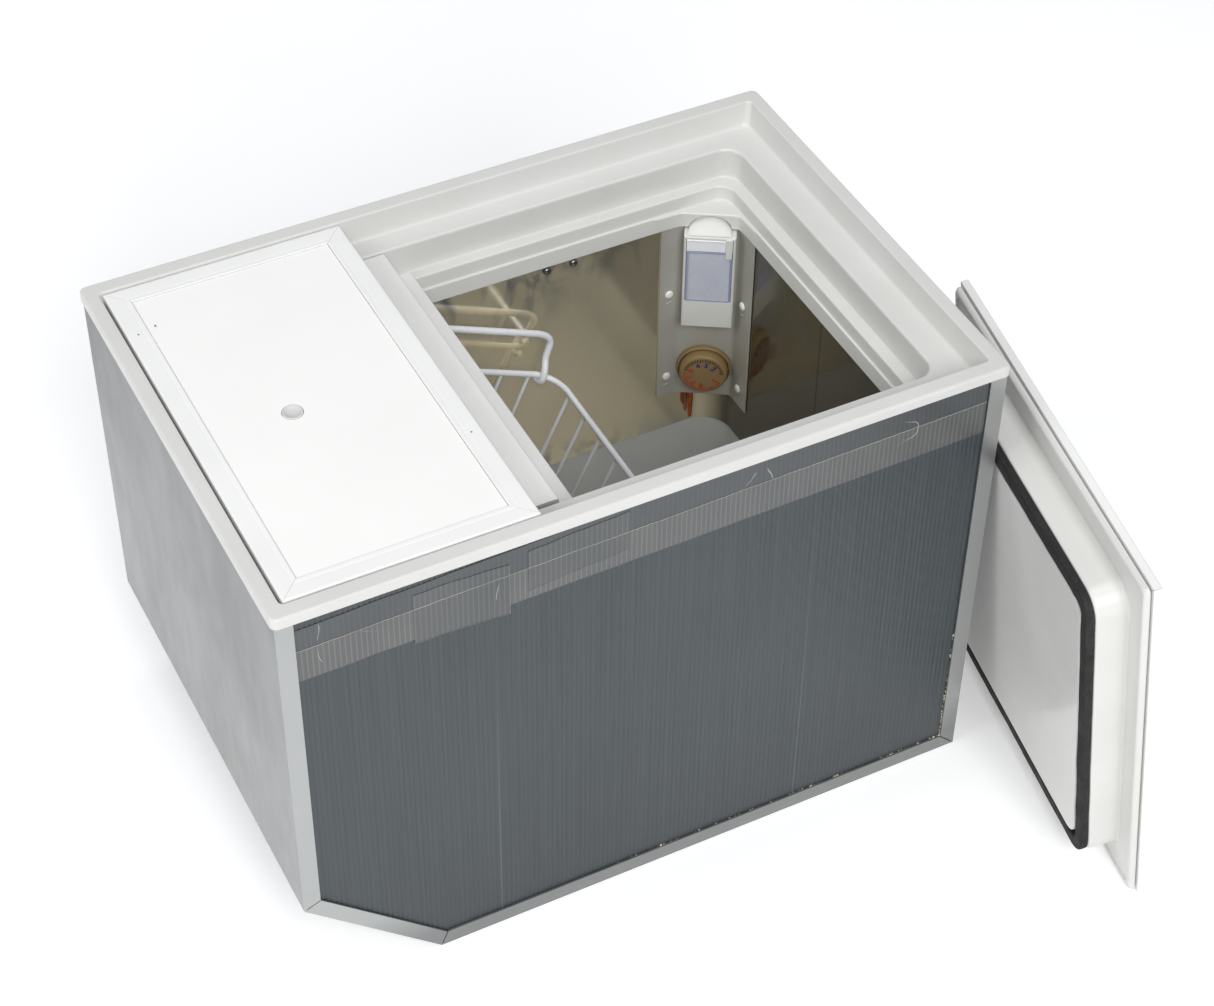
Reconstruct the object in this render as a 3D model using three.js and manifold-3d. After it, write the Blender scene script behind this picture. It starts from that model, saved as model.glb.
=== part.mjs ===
// Top-loading built-in compressor cooler box for a motorhome or caravan bench.
// Millimetres, +Z up, +X to the right, +Y to the back, origin at the centre of the cabinet's base.
import * as THREE from 'three';
import Module from 'manifold-3d';
import { mergeVertices } from 'three/addons/utils/BufferGeometryUtils.js';

const wasm = await Module();
wasm.setup();

// ---------------------------------------------------------------- driving dimensions
const GAP = 0.3; // air left between two pieces that touch

const CABINET = { halfX: 275, halfY: 182, height: 389, sheet: 1.5, flange: 13, slit: 0.8 };
const CHAMFER = { wide: 103, high: 100 }; // cut along the bottom left edge, clear of a wheel arch
const PANEL_THICK = 4;

const RIM = { top: 398, overhang: 2 };
const WALL_1 = { topX: 266, topY: 171.5, footX: 262, footY: 167 };
const LEDGE_1 = { z: 379, innerX: 239.5, innerY: 147.8 };
const LEDGE_2 = { z: 354.5, outerX: 238, outerY: 146, innerX: 228.5, innerY: 136.7 };
const LEDGE_3 = { z: 343, innerX: 226, innerY: 133.8 };
const LIP = { z: 329, halfX: 225.5, halfY: 133 };

const EVAPORATOR = { halfX: 228, halfY: 136.5, thick: 1.5, low: 118, corner: 25 };
const LINER = { wall: 3, floor: 40, chamferOffset: 43, corner: 24 };

const DIVIDER = { x: -80, upperHalf: 24, lowerHalf: 44, webZ: LEDGE_2.z + GAP, footZ: LEDGE_3.z + GAP };

const LID = { plate: 6.5, flangeLow: 12, trayLow: 36.2, gasketLow: 42.7, halfY: 169.5, rail: 16 };
const TRAY_INSET = { x: 26.5, y: 24 };
const LEFT_LID = { name: 'left_lid', centreX: -172.25, halfX: 91.25 };
const RIGHT_LID = { name: 'right_lid', halfX: 171.5, corner: [326, -374], yaw: 10, lean: 7 };
const PLUG = { radius: 7.5, x: -17, y: -5 };

const BRACKET = { low: 154.5, high: 328.5, thick: 1.2 };
const BRACKET_FOLDS = { leftX: 188.5, rightY: 112, leftEnd: 171, rightEnd: 87 };
const THERMOSTAT = { along: 22.2, z: 185 };
const SWITCH = { halfWide: 8, near: 1.8, far: 7.4, halfHigh: 12 }; // behind the dial
const PHIAL = { x: 201, y: 132.4, low: 124, high: 168, radius: 2.2 };
const CAPILLARY = { x: 195.6, y: 134.7, low: 138, high: 170, radius: 1.3 };
const PLATE_SCREWS = { left: 72.5, right: 95, z: 323 };
const ARCH = { radius: 12.5, deep: 14, behind: 4 };
const LAMP = { left: 2.6, right: 41.8, low: 236, high: 327.5, deep: 13 };

const BASKET = {
  tilt: 24, wide: 226, long: 236, deep: 204, rimX: 70.5, rimZ: 232, wire: 2.5, wall: 2, corner: 16,
};
const HANDLE = {
  wire: 2.8, bend: 14, high: 35, firstLeg: 15, lastLeg: 160,
  lean: 8, foldedBack: 166, eyeInner: 3.4, eyeOuter: 6.2,
};

const FITTINGS = { x: 150, z: 285 };

// ---------------------------------------------------------------- colours
const COLOUR = {
  metal: [0xa4a7a7, 0.45, 0.9],
  flute: [0x56646a, 0.5, 0.0],
  foam: [0xeee4c4, 0.9, 0.0],
  moulding: [0xe6e5e0, 0.4, 0.0],
  white: [0xf4f4f1, 0.35, 0.0],
  rubber: [0x1b1b1b, 0.8, 0.0],
  liner: [0x8d8f8e, 0.4, 0.0],
  evaporator: [0x9a8d70, 0.15, 1.0],
  beige: [0xc3a579, 0.5, 0.0],
  lens: [0xa9b2d4, 0.15, 0.0],
  copper: [0xb0603a, 0.35, 1.0],
  brass: [0xb99a55, 0.35, 1.0],
  steel: [0xc0c0c0, 0.3, 1.0],
  wire: [0xdcdde2, 0.35, 0.0],
};

function material(key) {
  const [color, roughness, metalness] = COLOUR[key];
  return new THREE.MeshStandardMaterial({ color, roughness, metalness });
}

// ---------------------------------------------------------------- solids
function toSolid(geometry) {
  let plain = geometry.clone();
  plain.deleteAttribute('normal');
  plain.deleteAttribute('uv');
  plain = mergeVertices(plain, 1e-4);
  return new wasm.Manifold(new wasm.Mesh({
    numProp: 3,
    vertProperties: new Float32Array(plain.attributes.position.array),
    triVerts: new Uint32Array(plain.index.array),
  }));
}

function toGeometry(solid) {
  const mesh = solid.getMesh();
  const geometry = new THREE.BufferGeometry();
  geometry.setAttribute('position', new THREE.Float32BufferAttribute(mesh.vertProperties, 3));
  geometry.setIndex(new THREE.Uint32BufferAttribute(mesh.triVerts, 1));
  return geometry;
}

function block(x0, x1, y0, y1, z0, z1) {
  const geometry = new THREE.BoxGeometry(x1 - x0, y1 - y0, z1 - z0);
  geometry.translate((x0 + x1) / 2, (y0 + y1) / 2, (z0 + z1) / 2);
  return geometry;
}

function outline(points) {
  return new THREE.Shape(points.map(([a, b]) => new THREE.Vector2(a, b)));
}

// A flat outline in X and Y, given thickness from z0 to z1.
function extrudeZ(points, z0, z1) {
  const geometry = new THREE.ExtrudeGeometry(outline(points), { depth: z1 - z0, bevelEnabled: false });
  geometry.translate(0, 0, z0);
  return geometry;
}

// A flat outline in X and Z, given thickness from y0 to y1.
function extrudeY(points, y0, y1) {
  const geometry = new THREE.ExtrudeGeometry(outline(points), { depth: y1 - y0, bevelEnabled: false });
  geometry.rotateX(Math.PI / 2);
  geometry.translate(0, y1, 0);
  return geometry;
}

// A turned piece whose axis lies along -Y: profile points are [radius, distance out of the wall].
function turnedOut(profile, segments) {
  const points = profile.map(([r, out]) => new THREE.Vector2(r, out));
  return new THREE.LatheGeometry(points, segments).rotateX(Math.PI);
}

function roundedLoop({ x, y, r, cx = 0, cy = 0 }, perCorner) {
  const loop = [];
  const corners = [[1, -1, -90], [1, 1, 0], [-1, 1, 90], [-1, -1, 180]];
  for (const [sx, sy, start] of corners) {
    for (let i = 0; i <= perCorner; i += 1) {
      const angle = THREE.MathUtils.degToRad(start + (90 * i) / perCorner);
      loop.push([cx + sx * (x - r) + r * Math.cos(angle), cy + sy * (y - r) + r * Math.sin(angle)]);
    }
  }
  return loop;
}

// Joins rounded rectangles at several heights. A ring closes on its first station;
// otherwise the first and the last station are capped.
function loft(stations, { ring = false, perCorner = 4 } = {}) {
  const loops = stations.map((s) => roundedLoop(s, perCorner).map(([a, b]) => [a, b, s.z]));
  const count = loops[0].length;
  const positions = loops.flat(2);
  const index = [];
  const bands = ring ? loops.length : loops.length - 1;
  for (let band = 0; band < bands; band += 1) {
    const low = band * count;
    const high = ((band + 1) % loops.length) * count;
    for (let i = 0; i < count; i += 1) {
      const j = (i + 1) % count;
      index.push(low + i, low + j, high + j, low + i, high + j, high + i);
    }
  }
  if (!ring) {
    const last = (loops.length - 1) * count;
    for (let i = 1; i < count - 1; i += 1) {
      index.push(0, i + 1, i);
      index.push(last, last + i, last + i + 1);
    }
  }
  const geometry = new THREE.BufferGeometry();
  geometry.setAttribute('position', new THREE.Float32BufferAttribute(positions, 3));
  geometry.setIndex(index);
  return geometry;
}

// A round wire along a list of points; each corner's curve starts `corner` before it.
function wire(points, radius, corner, steps, sides = 8) {
  const path = new THREE.CurvePath();
  let from = points[0];
  for (let i = 1; i < points.length - 1; i += 1) {
    const arriving = points[i].clone().sub(from).normalize();
    const leaving = points[i + 1].clone().sub(points[i]).normalize();
    const back = points[i].clone().addScaledVector(arriving, -corner);
    const on = points[i].clone().addScaledVector(leaving, corner);
    path.add(new THREE.LineCurve3(from, back));
    path.add(new THREE.QuadraticBezierCurve3(back, points[i], on));
    from = on;
  }
  path.add(new THREE.LineCurve3(from, points[points.length - 1]));
  const section = new THREE.Shape();
  for (let i = 0; i < sides; i += 1) {
    const angle = (2 * Math.PI * i) / sides;
    const at = [radius * Math.cos(angle), radius * Math.sin(angle)];
    if (i === 0) section.moveTo(...at);
    else section.lineTo(...at);
  }
  return new THREE.ExtrudeGeometry(section, { steps, extrudePath: path, bevelEnabled: false });
}

const root = new THREE.Group();

function add(name, geometry, colour, parent = root) {
  const mesh = new THREE.Mesh(geometry, material(colour));
  mesh.name = name;
  parent.add(mesh);
  return mesh;
}

// ---------------------------------------------------------------- cabinet
// The cabinet's front outline in X and Z, moved inward by `inset`, with its own chamfer offset.
function cabinetOutline(inset, top, floor = inset, chamferOffset = inset) {
  const slope = CHAMFER.high / CHAMFER.wide;
  const half = CABINET.halfX - inset;
  const chamferEnd = -CABINET.halfX + CHAMFER.wide;
  const rise = chamferOffset * Math.hypot(1, slope);
  const high = -slope * (-half - chamferEnd) + rise;
  const foot = chamferEnd + (rise - floor) / slope;
  return [[foot, floor], [half, floor], [half, top], [-half, top], [-half, high]];
}

function bendSlit(x, z, angle) {
  const length = 2 * CABINET.flange + 8;
  const reach = CABINET.halfY + 1;
  const half = CABINET.slit / 2;
  const geometry = block(0, length, -reach, reach, -half, half);
  geometry.rotateY(-THREE.MathUtils.degToRad(angle));
  geometry.translate(x, 0, z);
  return toSolid(geometry);
}

function cabinetShell() {
  const { halfX, halfY, height, sheet, flange } = CABINET;
  const outer = toSolid(extrudeY(cabinetOutline(0, height), -halfY, halfY));
  const hollow = toSolid(extrudeY(cabinetOutline(sheet, height + 1), -halfY + sheet, halfY - sheet));
  const mouth = toSolid(extrudeY(cabinetOutline(flange, height + 1), -halfY - 1, halfY + 1));
  const chamferAngle = THREE.MathUtils.radToDeg(Math.atan2(CHAMFER.high, CHAMFER.wide));
  const corners = [
    bendSlit(halfX, 0, 135),
    bendSlit(-halfX + CHAMFER.wide, 0, 90 - chamferAngle / 2),
    bendSlit(-halfX, CHAMFER.high, 45 - chamferAngle / 2),
  ];
  const keepSheet = toSolid(extrudeY(cabinetOutline(sheet + 0.4, height + 2), -halfY - 2, halfY + 2));
  const slits = corners.reduce((all, one) => all.add(one)).intersect(keepSheet);
  return toGeometry(outer.subtract(hollow).subtract(mouth).subtract(slits));
}

function flutedPanel(side) {
  const near = CABINET.halfY - CABINET.sheet - GAP;
  const far = near - PANEL_THICK;
  const points = cabinetOutline(CABINET.sheet + GAP, CABINET.height - 0.5);
  return side < 0 ? extrudeY(points, -near, -far) : extrudeY(points, far, near);
}

function linerBody(grow, top, inside) {
  const wall = inside ? 0 : LINER.wall;
  const halfX = EVAPORATOR.halfX + EVAPORATOR.thick + GAP + wall + grow;
  const halfY = EVAPORATOR.halfY + EVAPORATOR.thick + GAP + wall + grow;
  const inset = CABINET.halfX - halfX;
  const floor = LINER.floor - wall - grow;
  const offset = LINER.chamferOffset - wall - grow;
  const front = toSolid(extrudeY(cabinetOutline(inset, top, floor, offset), -halfY, halfY));
  const corner = LINER.corner + EVAPORATOR.thick + wall;
  const plan = loft([{ x: halfX, y: halfY, r: corner, z: 0 }, { x: halfX, y: halfY, r: corner, z: top }]);
  return front.intersect(toSolid(plan));
}

function innerLiner() {
  return toGeometry(linerBody(0, LIP.z - GAP, false).subtract(linerBody(0, LIP.z + 5, true)));
}

function foamBody() {
  const inset = CABINET.sheet + GAP;
  const halfY = CABINET.halfY - CABINET.sheet - 2 * GAP - PANEL_THICK;
  const top = LEDGE_1.z - 3.3;
  const body = toSolid(extrudeY(cabinetOutline(inset, top), -halfY, halfY));
  const neckX = LEDGE_1.innerX + 3.3;
  const neckY = LEDGE_1.innerY + 3.5;
  const neck = toSolid(block(-neckX, neckX, -neckY, neckY, LEDGE_2.z - 3.3, top + 1));
  const mouthX = EVAPORATOR.halfX + EVAPORATOR.thick + LINER.wall + 2 * GAP;
  const mouthY = EVAPORATOR.halfY + EVAPORATOR.thick + LINER.wall + 2 * GAP;
  const mouth = toSolid(block(-mouthX, mouthX, -mouthY, mouthY, LIP.z - GAP, top));
  return toGeometry(body.subtract(linerBody(GAP, top + 1, false)).subtract(neck).subtract(mouth));
}

function topFrame() {
  const { halfX, halfY, height } = CABINET;
  const seat = height + GAP;
  const outX = halfX + RIM.overhang;
  const outY = halfY + RIM.overhang;
  const skin = 3;
  const stations = [
    { x: outX, y: outY, r: 9, z: seat },
    { x: outX, y: outY, r: 9, z: RIM.top - 2.5 },
    { x: outX - 0.8, y: outY - 0.8, r: 8.4, z: RIM.top - 0.8 },
    { x: outX - 2.5, y: outY - 2.5, r: 7, z: RIM.top },
    { x: WALL_1.topX + 1.5, y: WALL_1.topY + 1.5, r: 3.6, z: RIM.top },
    { x: WALL_1.topX + 0.3, y: WALL_1.topY + 0.3, r: 3, z: RIM.top - 0.9 },
    { x: WALL_1.footX + 0.8, y: WALL_1.footY + 0.8, r: 2.6, z: LEDGE_1.z + 1.6 },
    { x: WALL_1.footX - 0.8, y: WALL_1.footY - 0.8, r: 3, z: LEDGE_1.z },
    { x: LEDGE_1.innerX + 1.6, y: LEDGE_1.innerY + 1.6, r: 13, z: LEDGE_1.z },
    { x: LEDGE_1.innerX, y: LEDGE_1.innerY, r: 12, z: LEDGE_1.z - 1.6 },
    { x: LEDGE_2.outerX, y: LEDGE_2.outerY, r: 12, z: LEDGE_2.z + 0.8 },
    { x: LEDGE_2.outerX - 0.8, y: LEDGE_2.outerY - 0.8, r: 12, z: LEDGE_2.z },
    { x: LEDGE_2.innerX + 1.2, y: LEDGE_2.innerY + 1.2, r: 13, z: LEDGE_2.z },
    { x: LEDGE_2.innerX, y: LEDGE_2.innerY, r: 12, z: LEDGE_2.z - 1.2 },
    { x: LEDGE_3.innerX + 1.8, y: LEDGE_3.innerY + 1.8, r: 12, z: LEDGE_3.z },
    { x: LEDGE_3.innerX, y: LEDGE_3.innerY, r: 12, z: LEDGE_3.z - 1 },
    { x: LIP.halfX, y: LIP.halfY, r: 12, z: LIP.z + 1 },
    { x: LIP.halfX + 1, y: LIP.halfY + 1, r: 12, z: LIP.z },
    { x: LIP.halfX + skin, y: LIP.halfY + skin, r: 13, z: LIP.z },
    { x: LEDGE_3.innerX + skin + 1.5, y: LEDGE_3.innerY + skin + 1.5, r: 14, z: LEDGE_3.z - skin },
    { x: LEDGE_2.innerX + skin, y: LEDGE_2.innerY + skin, r: 15, z: LEDGE_2.z - skin },
    { x: LEDGE_2.outerX + skin, y: LEDGE_2.outerY + skin, r: 15, z: LEDGE_2.z - skin },
    { x: LEDGE_1.innerX + skin, y: LEDGE_1.innerY + skin, r: 15, z: LEDGE_1.z - skin },
    { x: WALL_1.footX + skin, y: WALL_1.footY + skin, r: 9, z: LEDGE_1.z - skin },
    { x: WALL_1.topX + skin, y: WALL_1.topY + skin, r: 8, z: seat },
  ];
  const moulding = toSolid(loft(stations, { ring: true, perCorner: 5 }));
  return toGeometry(moulding.add(cornerGusset()));
}

// The moulding's back right corner is filled above the bracket, with an arched hollow over the lamp.
function cornerGusset() {
  const proud = 1.5;
  const { leftX, rightY, leftEnd, rightEnd } = BRACKET_FOLDS;
  const inX = LIP.halfX - proud;
  const inY = LIP.halfY - proud;
  const backX = LIP.halfX + proud;
  const backY = LIP.halfY + proud;
  const plan = [
    [leftEnd - 2, inY], [leftX, inY], [inX, rightY - 2], [inX, rightEnd - 2],
    [backX, rightEnd - 2], [backX, backY], [leftEnd - 2, backY],
  ];
  const filler = toSolid(extrudeZ(plan, LIP.z + 0.2, LEDGE_3.z));
  const arch = new THREE.CylinderGeometry(ARCH.radius, ARCH.radius, ARCH.deep, 32);
  arch.rotateX(Math.PI / 2);
  arch.translate(THERMOSTAT.along, -ARCH.deep / 2 + ARCH.behind, LIP.z - 1);
  arch.applyMatrix4(bracketMatrix());
  return filler.subtract(toSolid(arch));
}

add('cabinet_shell', cabinetShell(), 'metal');
add('front_panel', flutedPanel(-1), 'flute');
add('back_panel', flutedPanel(1), 'flute');
add('insulation_foam', foamBody(), 'foam');
add('inner_liner', innerLiner(), 'liner');
add('top_frame', topFrame(), 'moulding');

// ---------------------------------------------------------------- cold plate and corner bracket
// The bracket's own frame: x runs along its centre plate, -y points out into the box.
function bracketMatrix() {
  const wallY = EVAPORATOR.halfY - BRACKET.thick - GAP;
  const wallX = EVAPORATOR.halfX - BRACKET.thick - GAP;
  const { leftX, rightY } = BRACKET_FOLDS;
  const along = new THREE.Vector3(wallX - leftX, rightY - wallY, 0).normalize();
  const behind = new THREE.Vector3(-along.y, along.x, 0);
  const matrix = new THREE.Matrix4().makeBasis(along, behind, new THREE.Vector3(0, 0, 1));
  return matrix.setPosition(leftX, wallY, 0);
}

function evaporatorPlate() {
  const { halfX, halfY, thick, corner, low } = EVAPORATOR;
  const top = LIP.z - GAP;
  return loft([
    { x: halfX + thick, y: halfY + thick, r: corner + thick, z: low },
    { x: halfX + thick, y: halfY + thick, r: corner + thick, z: top },
    { x: halfX, y: halfY, r: corner, z: top },
    { x: halfX, y: halfY, r: corner, z: low },
  ], { ring: true, perCorner: 8 });
}

const RIVET_PLACES = [
  { name: 'left_upper', wall: 'back', at: 179, z: 262 },
  { name: 'left_lower', wall: 'back', at: 179, z: 176 },
  { name: 'right_upper', wall: 'right', at: 99, z: 259 },
  { name: 'right_lower', wall: 'right', at: 99, z: 172 },
];
const RIVET = { hole: 2.3, shank: 2, head: 3.6, dome: 1.9 };

function placeOnWall(object, { wall, at, z }, inset) {
  if (wall === 'back') {
    object.position.set(at, EVAPORATOR.halfY - inset, z);
  } else {
    object.position.set(EVAPORATOR.halfX - inset, at, z);
    object.rotation.z = -Math.PI / 2;
  }
}

function cornerBracket() {
  const { leftX, rightY, leftEnd, rightEnd } = BRACKET_FOLDS;
  const frontY = EVAPORATOR.halfY - BRACKET.thick - GAP;
  const frontX = EVAPORATOR.halfX - BRACKET.thick - GAP;
  const backY = EVAPORATOR.halfY - GAP;
  const backX = EVAPORATOR.halfX - GAP;
  const plan = [
    [leftEnd, frontY], [leftX, frontY], [frontX, rightY], [frontX, rightEnd],
    [backX, rightEnd], [backX, rightY + 0.7], [leftX + 0.4, backY], [leftEnd, backY],
  ];
  let solid = toSolid(extrudeZ(plan, BRACKET.low, BRACKET.high));
  for (const place of RIVET_PLACES) {
    const holder = new THREE.Object3D();
    placeOnWall(holder, place, 0);
    holder.updateMatrix();
    const hole = new THREE.CylinderGeometry(RIVET.hole, RIVET.hole, 4, 12);
    hole.applyMatrix4(holder.matrix);
    solid = solid.subtract(toSolid(hole));
  }
  const spindleHole = new THREE.CylinderGeometry(4.2, 4.2, 6, 16);
  spindleHole.translate(THERMOSTAT.along, 0, THERMOSTAT.z);
  spindleHole.applyMatrix4(bracketMatrix());
  return toGeometry(solid.subtract(toSolid(spindleHole)));
}

// Profile from the shank's end, over the domed head, as [radius, distance out of the flange].
function rivetBody() {
  const { shank, head, dome } = RIVET;
  const face = BRACKET.thick + 2 * GAP;
  return turnedOut([
    [0, GAP], [shank, GAP], [shank, face], [head, face], [head, face + 0.5],
    [head * 0.75, face + dome * 0.75], [head * 0.4, face + dome], [0, face + dome],
  ], 16);
}

function screwBody() {
  return turnedOut([[0, GAP], [3.4, GAP], [3.4, 1.1], [2.6, 2], [1.2, 2.5], [0, 2.5]], 16);
}

add('evaporator_plate', evaporatorPlate(), 'evaporator');
for (const side of ['left', 'right']) {
  const screw = add(`evaporator_screw_${side}`, screwBody(), 'steel');
  placeOnWall(screw, { wall: 'back', at: PLATE_SCREWS[side], z: PLATE_SCREWS.z }, 0);
}
add('corner_bracket', cornerBracket(), 'liner');
for (const place of RIVET_PLACES) {
  placeOnWall(add(`bracket_rivet_${place.name}`, rivetBody(), 'white'), place, 0);
}

// ---------------------------------------------------------------- thermostat and lamp
const bracketFrame = new THREE.Group();
bracketFrame.applyMatrix4(bracketMatrix());
root.add(bracketFrame);

function bezelRing() {
  return turnedOut([[20.6, GAP], [22.4, GAP], [22.4, 3.2], [21.6, 4.6], [20.6, 4.6], [20.6, GAP]], 48);
}

// One body from the spindle's end behind the bracket to the dial's domed face.
function knobBody() {
  return turnedOut([
    [0, -1.4], [3, -1.4], [3, 1], [19.4, 1], [19.8, 5], [19.3, 10.4], [17.6, 12], [9, 12.6], [0, 12.8],
  ], 48);
}

function lampHousing() {
  const { left, right, low, high, deep } = LAMP;
  const shell = toSolid(block(left, right, -deep, -GAP, low, high));
  const pocket = toSolid(block(left + 2.2, right - 2.2, -deep - 1, -2.4, low + 27, high - 3));
  return toGeometry(shell.subtract(pocket));
}

function lampLens() {
  const { left, right, low, high, deep } = LAMP;
  return block(left + 2.5, right - 2.5, -deep, -deep + 2, low + 27.3, high - 3.3);
}

add('thermostat_bezel', bezelRing(), 'beige', bracketFrame)
  .position.set(THERMOSTAT.along, 0, THERMOSTAT.z);
add('thermostat_knob', knobBody(), 'beige', bracketFrame)
  .position.set(THERMOSTAT.along, 0, THERMOSTAT.z);
const { halfWide, near, far, halfHigh } = SWITCH;
const switchBox = block(-halfWide, halfWide, near, far, -halfHigh, halfHigh);
add('thermostat_body', switchBox, 'white', bracketFrame)
  .position.set(THERMOSTAT.along, 0, THERMOSTAT.z);
add('lamp_housing', lampHousing(), 'white', bracketFrame);
add('lamp_lens', lampLens(), 'lens', bracketFrame);
const bulb = new THREE.CylinderGeometry(4, 4, 34, 20).rotateX(Math.PI / 2);
bulb.translate((LAMP.left + LAMP.right) / 2, -7, LAMP.low + 58);
add('lamp_bulb', bulb, 'white', bracketFrame);

function copperTube({ x, y, low, high, radius }) {
  const tube = new THREE.CylinderGeometry(radius, radius, high - low, 14);
  tube.rotateX(Math.PI / 2);
  tube.translate(x, y, (low + high) / 2);
  return tube;
}
add('sensor_phial', copperTube(PHIAL), 'copper');
add('capillary_tube', copperTube(CAPILLARY), 'copper');

// ---------------------------------------------------------------- refrigerant and power inlets
// A male half with its valve shut: a hexagon, a threaded neck and a chamfered end face.
function hexFitting(radius, hex, long) {
  const neck = new THREE.LatheGeometry([
    new THREE.Vector2(0, 0), new THREE.Vector2(radius, 0), new THREE.Vector2(radius, long - 1.2),
    new THREE.Vector2(radius - 1.2, long), new THREE.Vector2(0, long),
  ], 24);
  const nut = new THREE.CylinderGeometry(hex, hex, 7, 6).translate(0, 5, 0);
  return toGeometry(toSolid(neck).add(toSolid(nut)));
}

const plateY = CABINET.halfY - CABINET.sheet;
const { x: fitX, z: fitZ } = FITTINGS;
add('service_plate', block(fitX - 45, fitX + 45, plateY, plateY + 2, fitZ - 30, fitZ + 30), 'metal');
[
  { name: 'suction_coupling', dx: -26, dz: 8, radius: 8, hex: 11, colour: 'brass' },
  { name: 'liquid_coupling', dx: 2, dz: 8, radius: 6.5, hex: 9.5, colour: 'brass' },
  { name: 'cable_gland', dx: 28, dz: 8, radius: 5.5, hex: 8.5, colour: 'rubber' },
].forEach(({ name, dx, dz, radius, hex, colour }) => {
  add(name, hexFitting(radius, hex, 20), colour).position.set(fitX + dx, plateY + 2 + GAP, fitZ + dz);
});

// ---------------------------------------------------------------- divider rail
function dividerRail() {
  const { x, upperHalf, lowerHalf, webZ, footZ } = DIVIDER;
  const footY = LEDGE_2.innerY - 1.4;
  const webY = LEDGE_2.outerY - 1;
  const foot = toSolid(block(x - lowerHalf, x + lowerHalf, -footY, footY, footZ, webZ));
  const bevel = 1.2;
  const web = [
    [x - upperHalf, webZ - 0.01], [x + upperHalf, webZ - 0.01],
    [x + upperHalf, LEDGE_1.z - bevel], [x + upperHalf - bevel, LEDGE_1.z],
    [x - upperHalf + bevel, LEDGE_1.z], [x - upperHalf, LEDGE_1.z - bevel],
  ];
  return toGeometry(foot.add(toSolid(extrudeY(web, -webY, webY))));
}
add('divider_rail', dividerRail(), 'moulding');

// ---------------------------------------------------------------- lids
// A lid's own frame: origin at the middle of its top face, z down to the seal is negative.
// Its border is four mitred strips, each drawn as the front one and turned into place.
function lidRail(halfX, halfY, side) {
  const { rail, plate } = LID;
  const turns = ['front', 'right', 'back', 'left'].indexOf(side);
  const [run, reach] = turns % 2 ? [halfY, halfX] : [halfX, halfY];
  const cut = GAP / 2;
  const plan = [
    [-run + cut, -reach], [run - cut, -reach],
    [run - rail - cut, -reach + rail], [-run + rail + cut, -reach + rail],
  ];
  return extrudeZ(plan, -plate, 0).rotateZ(turns * Math.PI / 2);
}

function lidTray(halfX, halfY) {
  const bed = { x: halfX - TRAY_INSET.x, y: halfY - TRAY_INSET.y };
  const sealIn = 11.5;
  const skin = 2.5;
  const { plate, flangeLow, trayLow, gasketLow } = LID;
  return loft([
    { x: bed.x - sealIn - 0.8, y: bed.y - sealIn - 0.8, r: 15, z: -gasketLow + 0.6 },
    { x: bed.x - sealIn, y: bed.y - sealIn, r: 15.5, z: -trayLow - 5 },
    { x: bed.x - sealIn, y: bed.y - sealIn, r: 15.5, z: -trayLow },
    { x: bed.x - 3.4, y: bed.y - 3.4, r: 17, z: -trayLow },
    { x: bed.x - 0.8, y: bed.y - 0.8, r: 19, z: -trayLow + 2.6 },
    { x: bed.x, y: bed.y, r: 19, z: -flangeLow - 1.2 },
    { x: bed.x + 1.2, y: bed.y + 1.2, r: 20, z: -flangeLow },
    { x: halfX - 3.6, y: halfY - 3.6, r: 4, z: -flangeLow },
    { x: halfX - 2, y: halfY - 2, r: 4, z: -flangeLow + 1.8 },
    { x: halfX - 2, y: halfY - 2, r: 4, z: -plate - 1.6 },
    { x: halfX - 3, y: halfY - 3, r: 4, z: -plate - GAP },
    { x: bed.x - skin + 1, y: bed.y - skin + 1, r: 18, z: -plate - GAP },
    { x: bed.x - skin - 1, y: bed.y - skin - 1, r: 17, z: -trayLow + skin },
  ], { perCorner: 5 });
}

function lidGasket(halfX, halfY) {
  const outX = halfX - TRAY_INSET.x - 1.6;
  const outY = halfY - TRAY_INSET.y - 1.6;
  const wide = 9.2;
  const high = -LID.trayLow - GAP;
  const low = -LID.gasketLow;
  return loft([
    { x: outX - 1, y: outY - 1, r: 18, z: high },
    { x: outX - wide + 0.4, y: outY - wide + 0.4, r: 15.6, z: high },
    { x: outX - wide, y: outY - wide, r: 15.4, z: low + 1.6 },
    { x: outX - wide + 1.6, y: outY - wide + 1.6, r: 16, z: low },
    { x: outX - 1.8, y: outY - 1.8, r: 18, z: low },
    { x: outX, y: outY, r: 18.6, z: low + 1.8 },
    { x: outX, y: outY, r: 18.6, z: high - 1 },
  ], { ring: true, perCorner: 6 });
}

function lidPanel(halfX, halfY) {
  const inset = LID.rail + GAP;
  const x = halfX - inset;
  const y = halfY - inset;
  const plate = toSolid(block(-x, x, -y, y, -LID.plate, -1));
  const hole = new THREE.CylinderGeometry(PLUG.radius + GAP, PLUG.radius + GAP, 30, 32);
  hole.rotateX(Math.PI / 2);
  hole.translate(PLUG.x, PLUG.y, 0);
  return toGeometry(plate.subtract(toSolid(hole)));
}

function plugBody() {
  const profile = [
    [0, -6.2], [6, -6.2], [7.5, -3], [7.5, -0.6], [6.6, -0.3], [5.4, -0.9], [3, -1.7], [0, -2],
  ];
  const geometry = new THREE.LatheGeometry(profile.map(([r, z]) => new THREE.Vector2(r, z)), 32);
  geometry.rotateX(Math.PI / 2);
  geometry.translate(PLUG.x, PLUG.y, 0);
  return geometry;
}

function lidCore(halfX, halfY) {
  const x = halfX - TRAY_INSET.x - 4;
  const y = halfY - TRAY_INSET.y - 4;
  return loft([
    { x: x - 0.6, y: y - 0.6, r: 15, z: -LID.trayLow + 2.8 },
    { x, y, r: 15, z: -LID.plate - GAP },
  ]);
}

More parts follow.
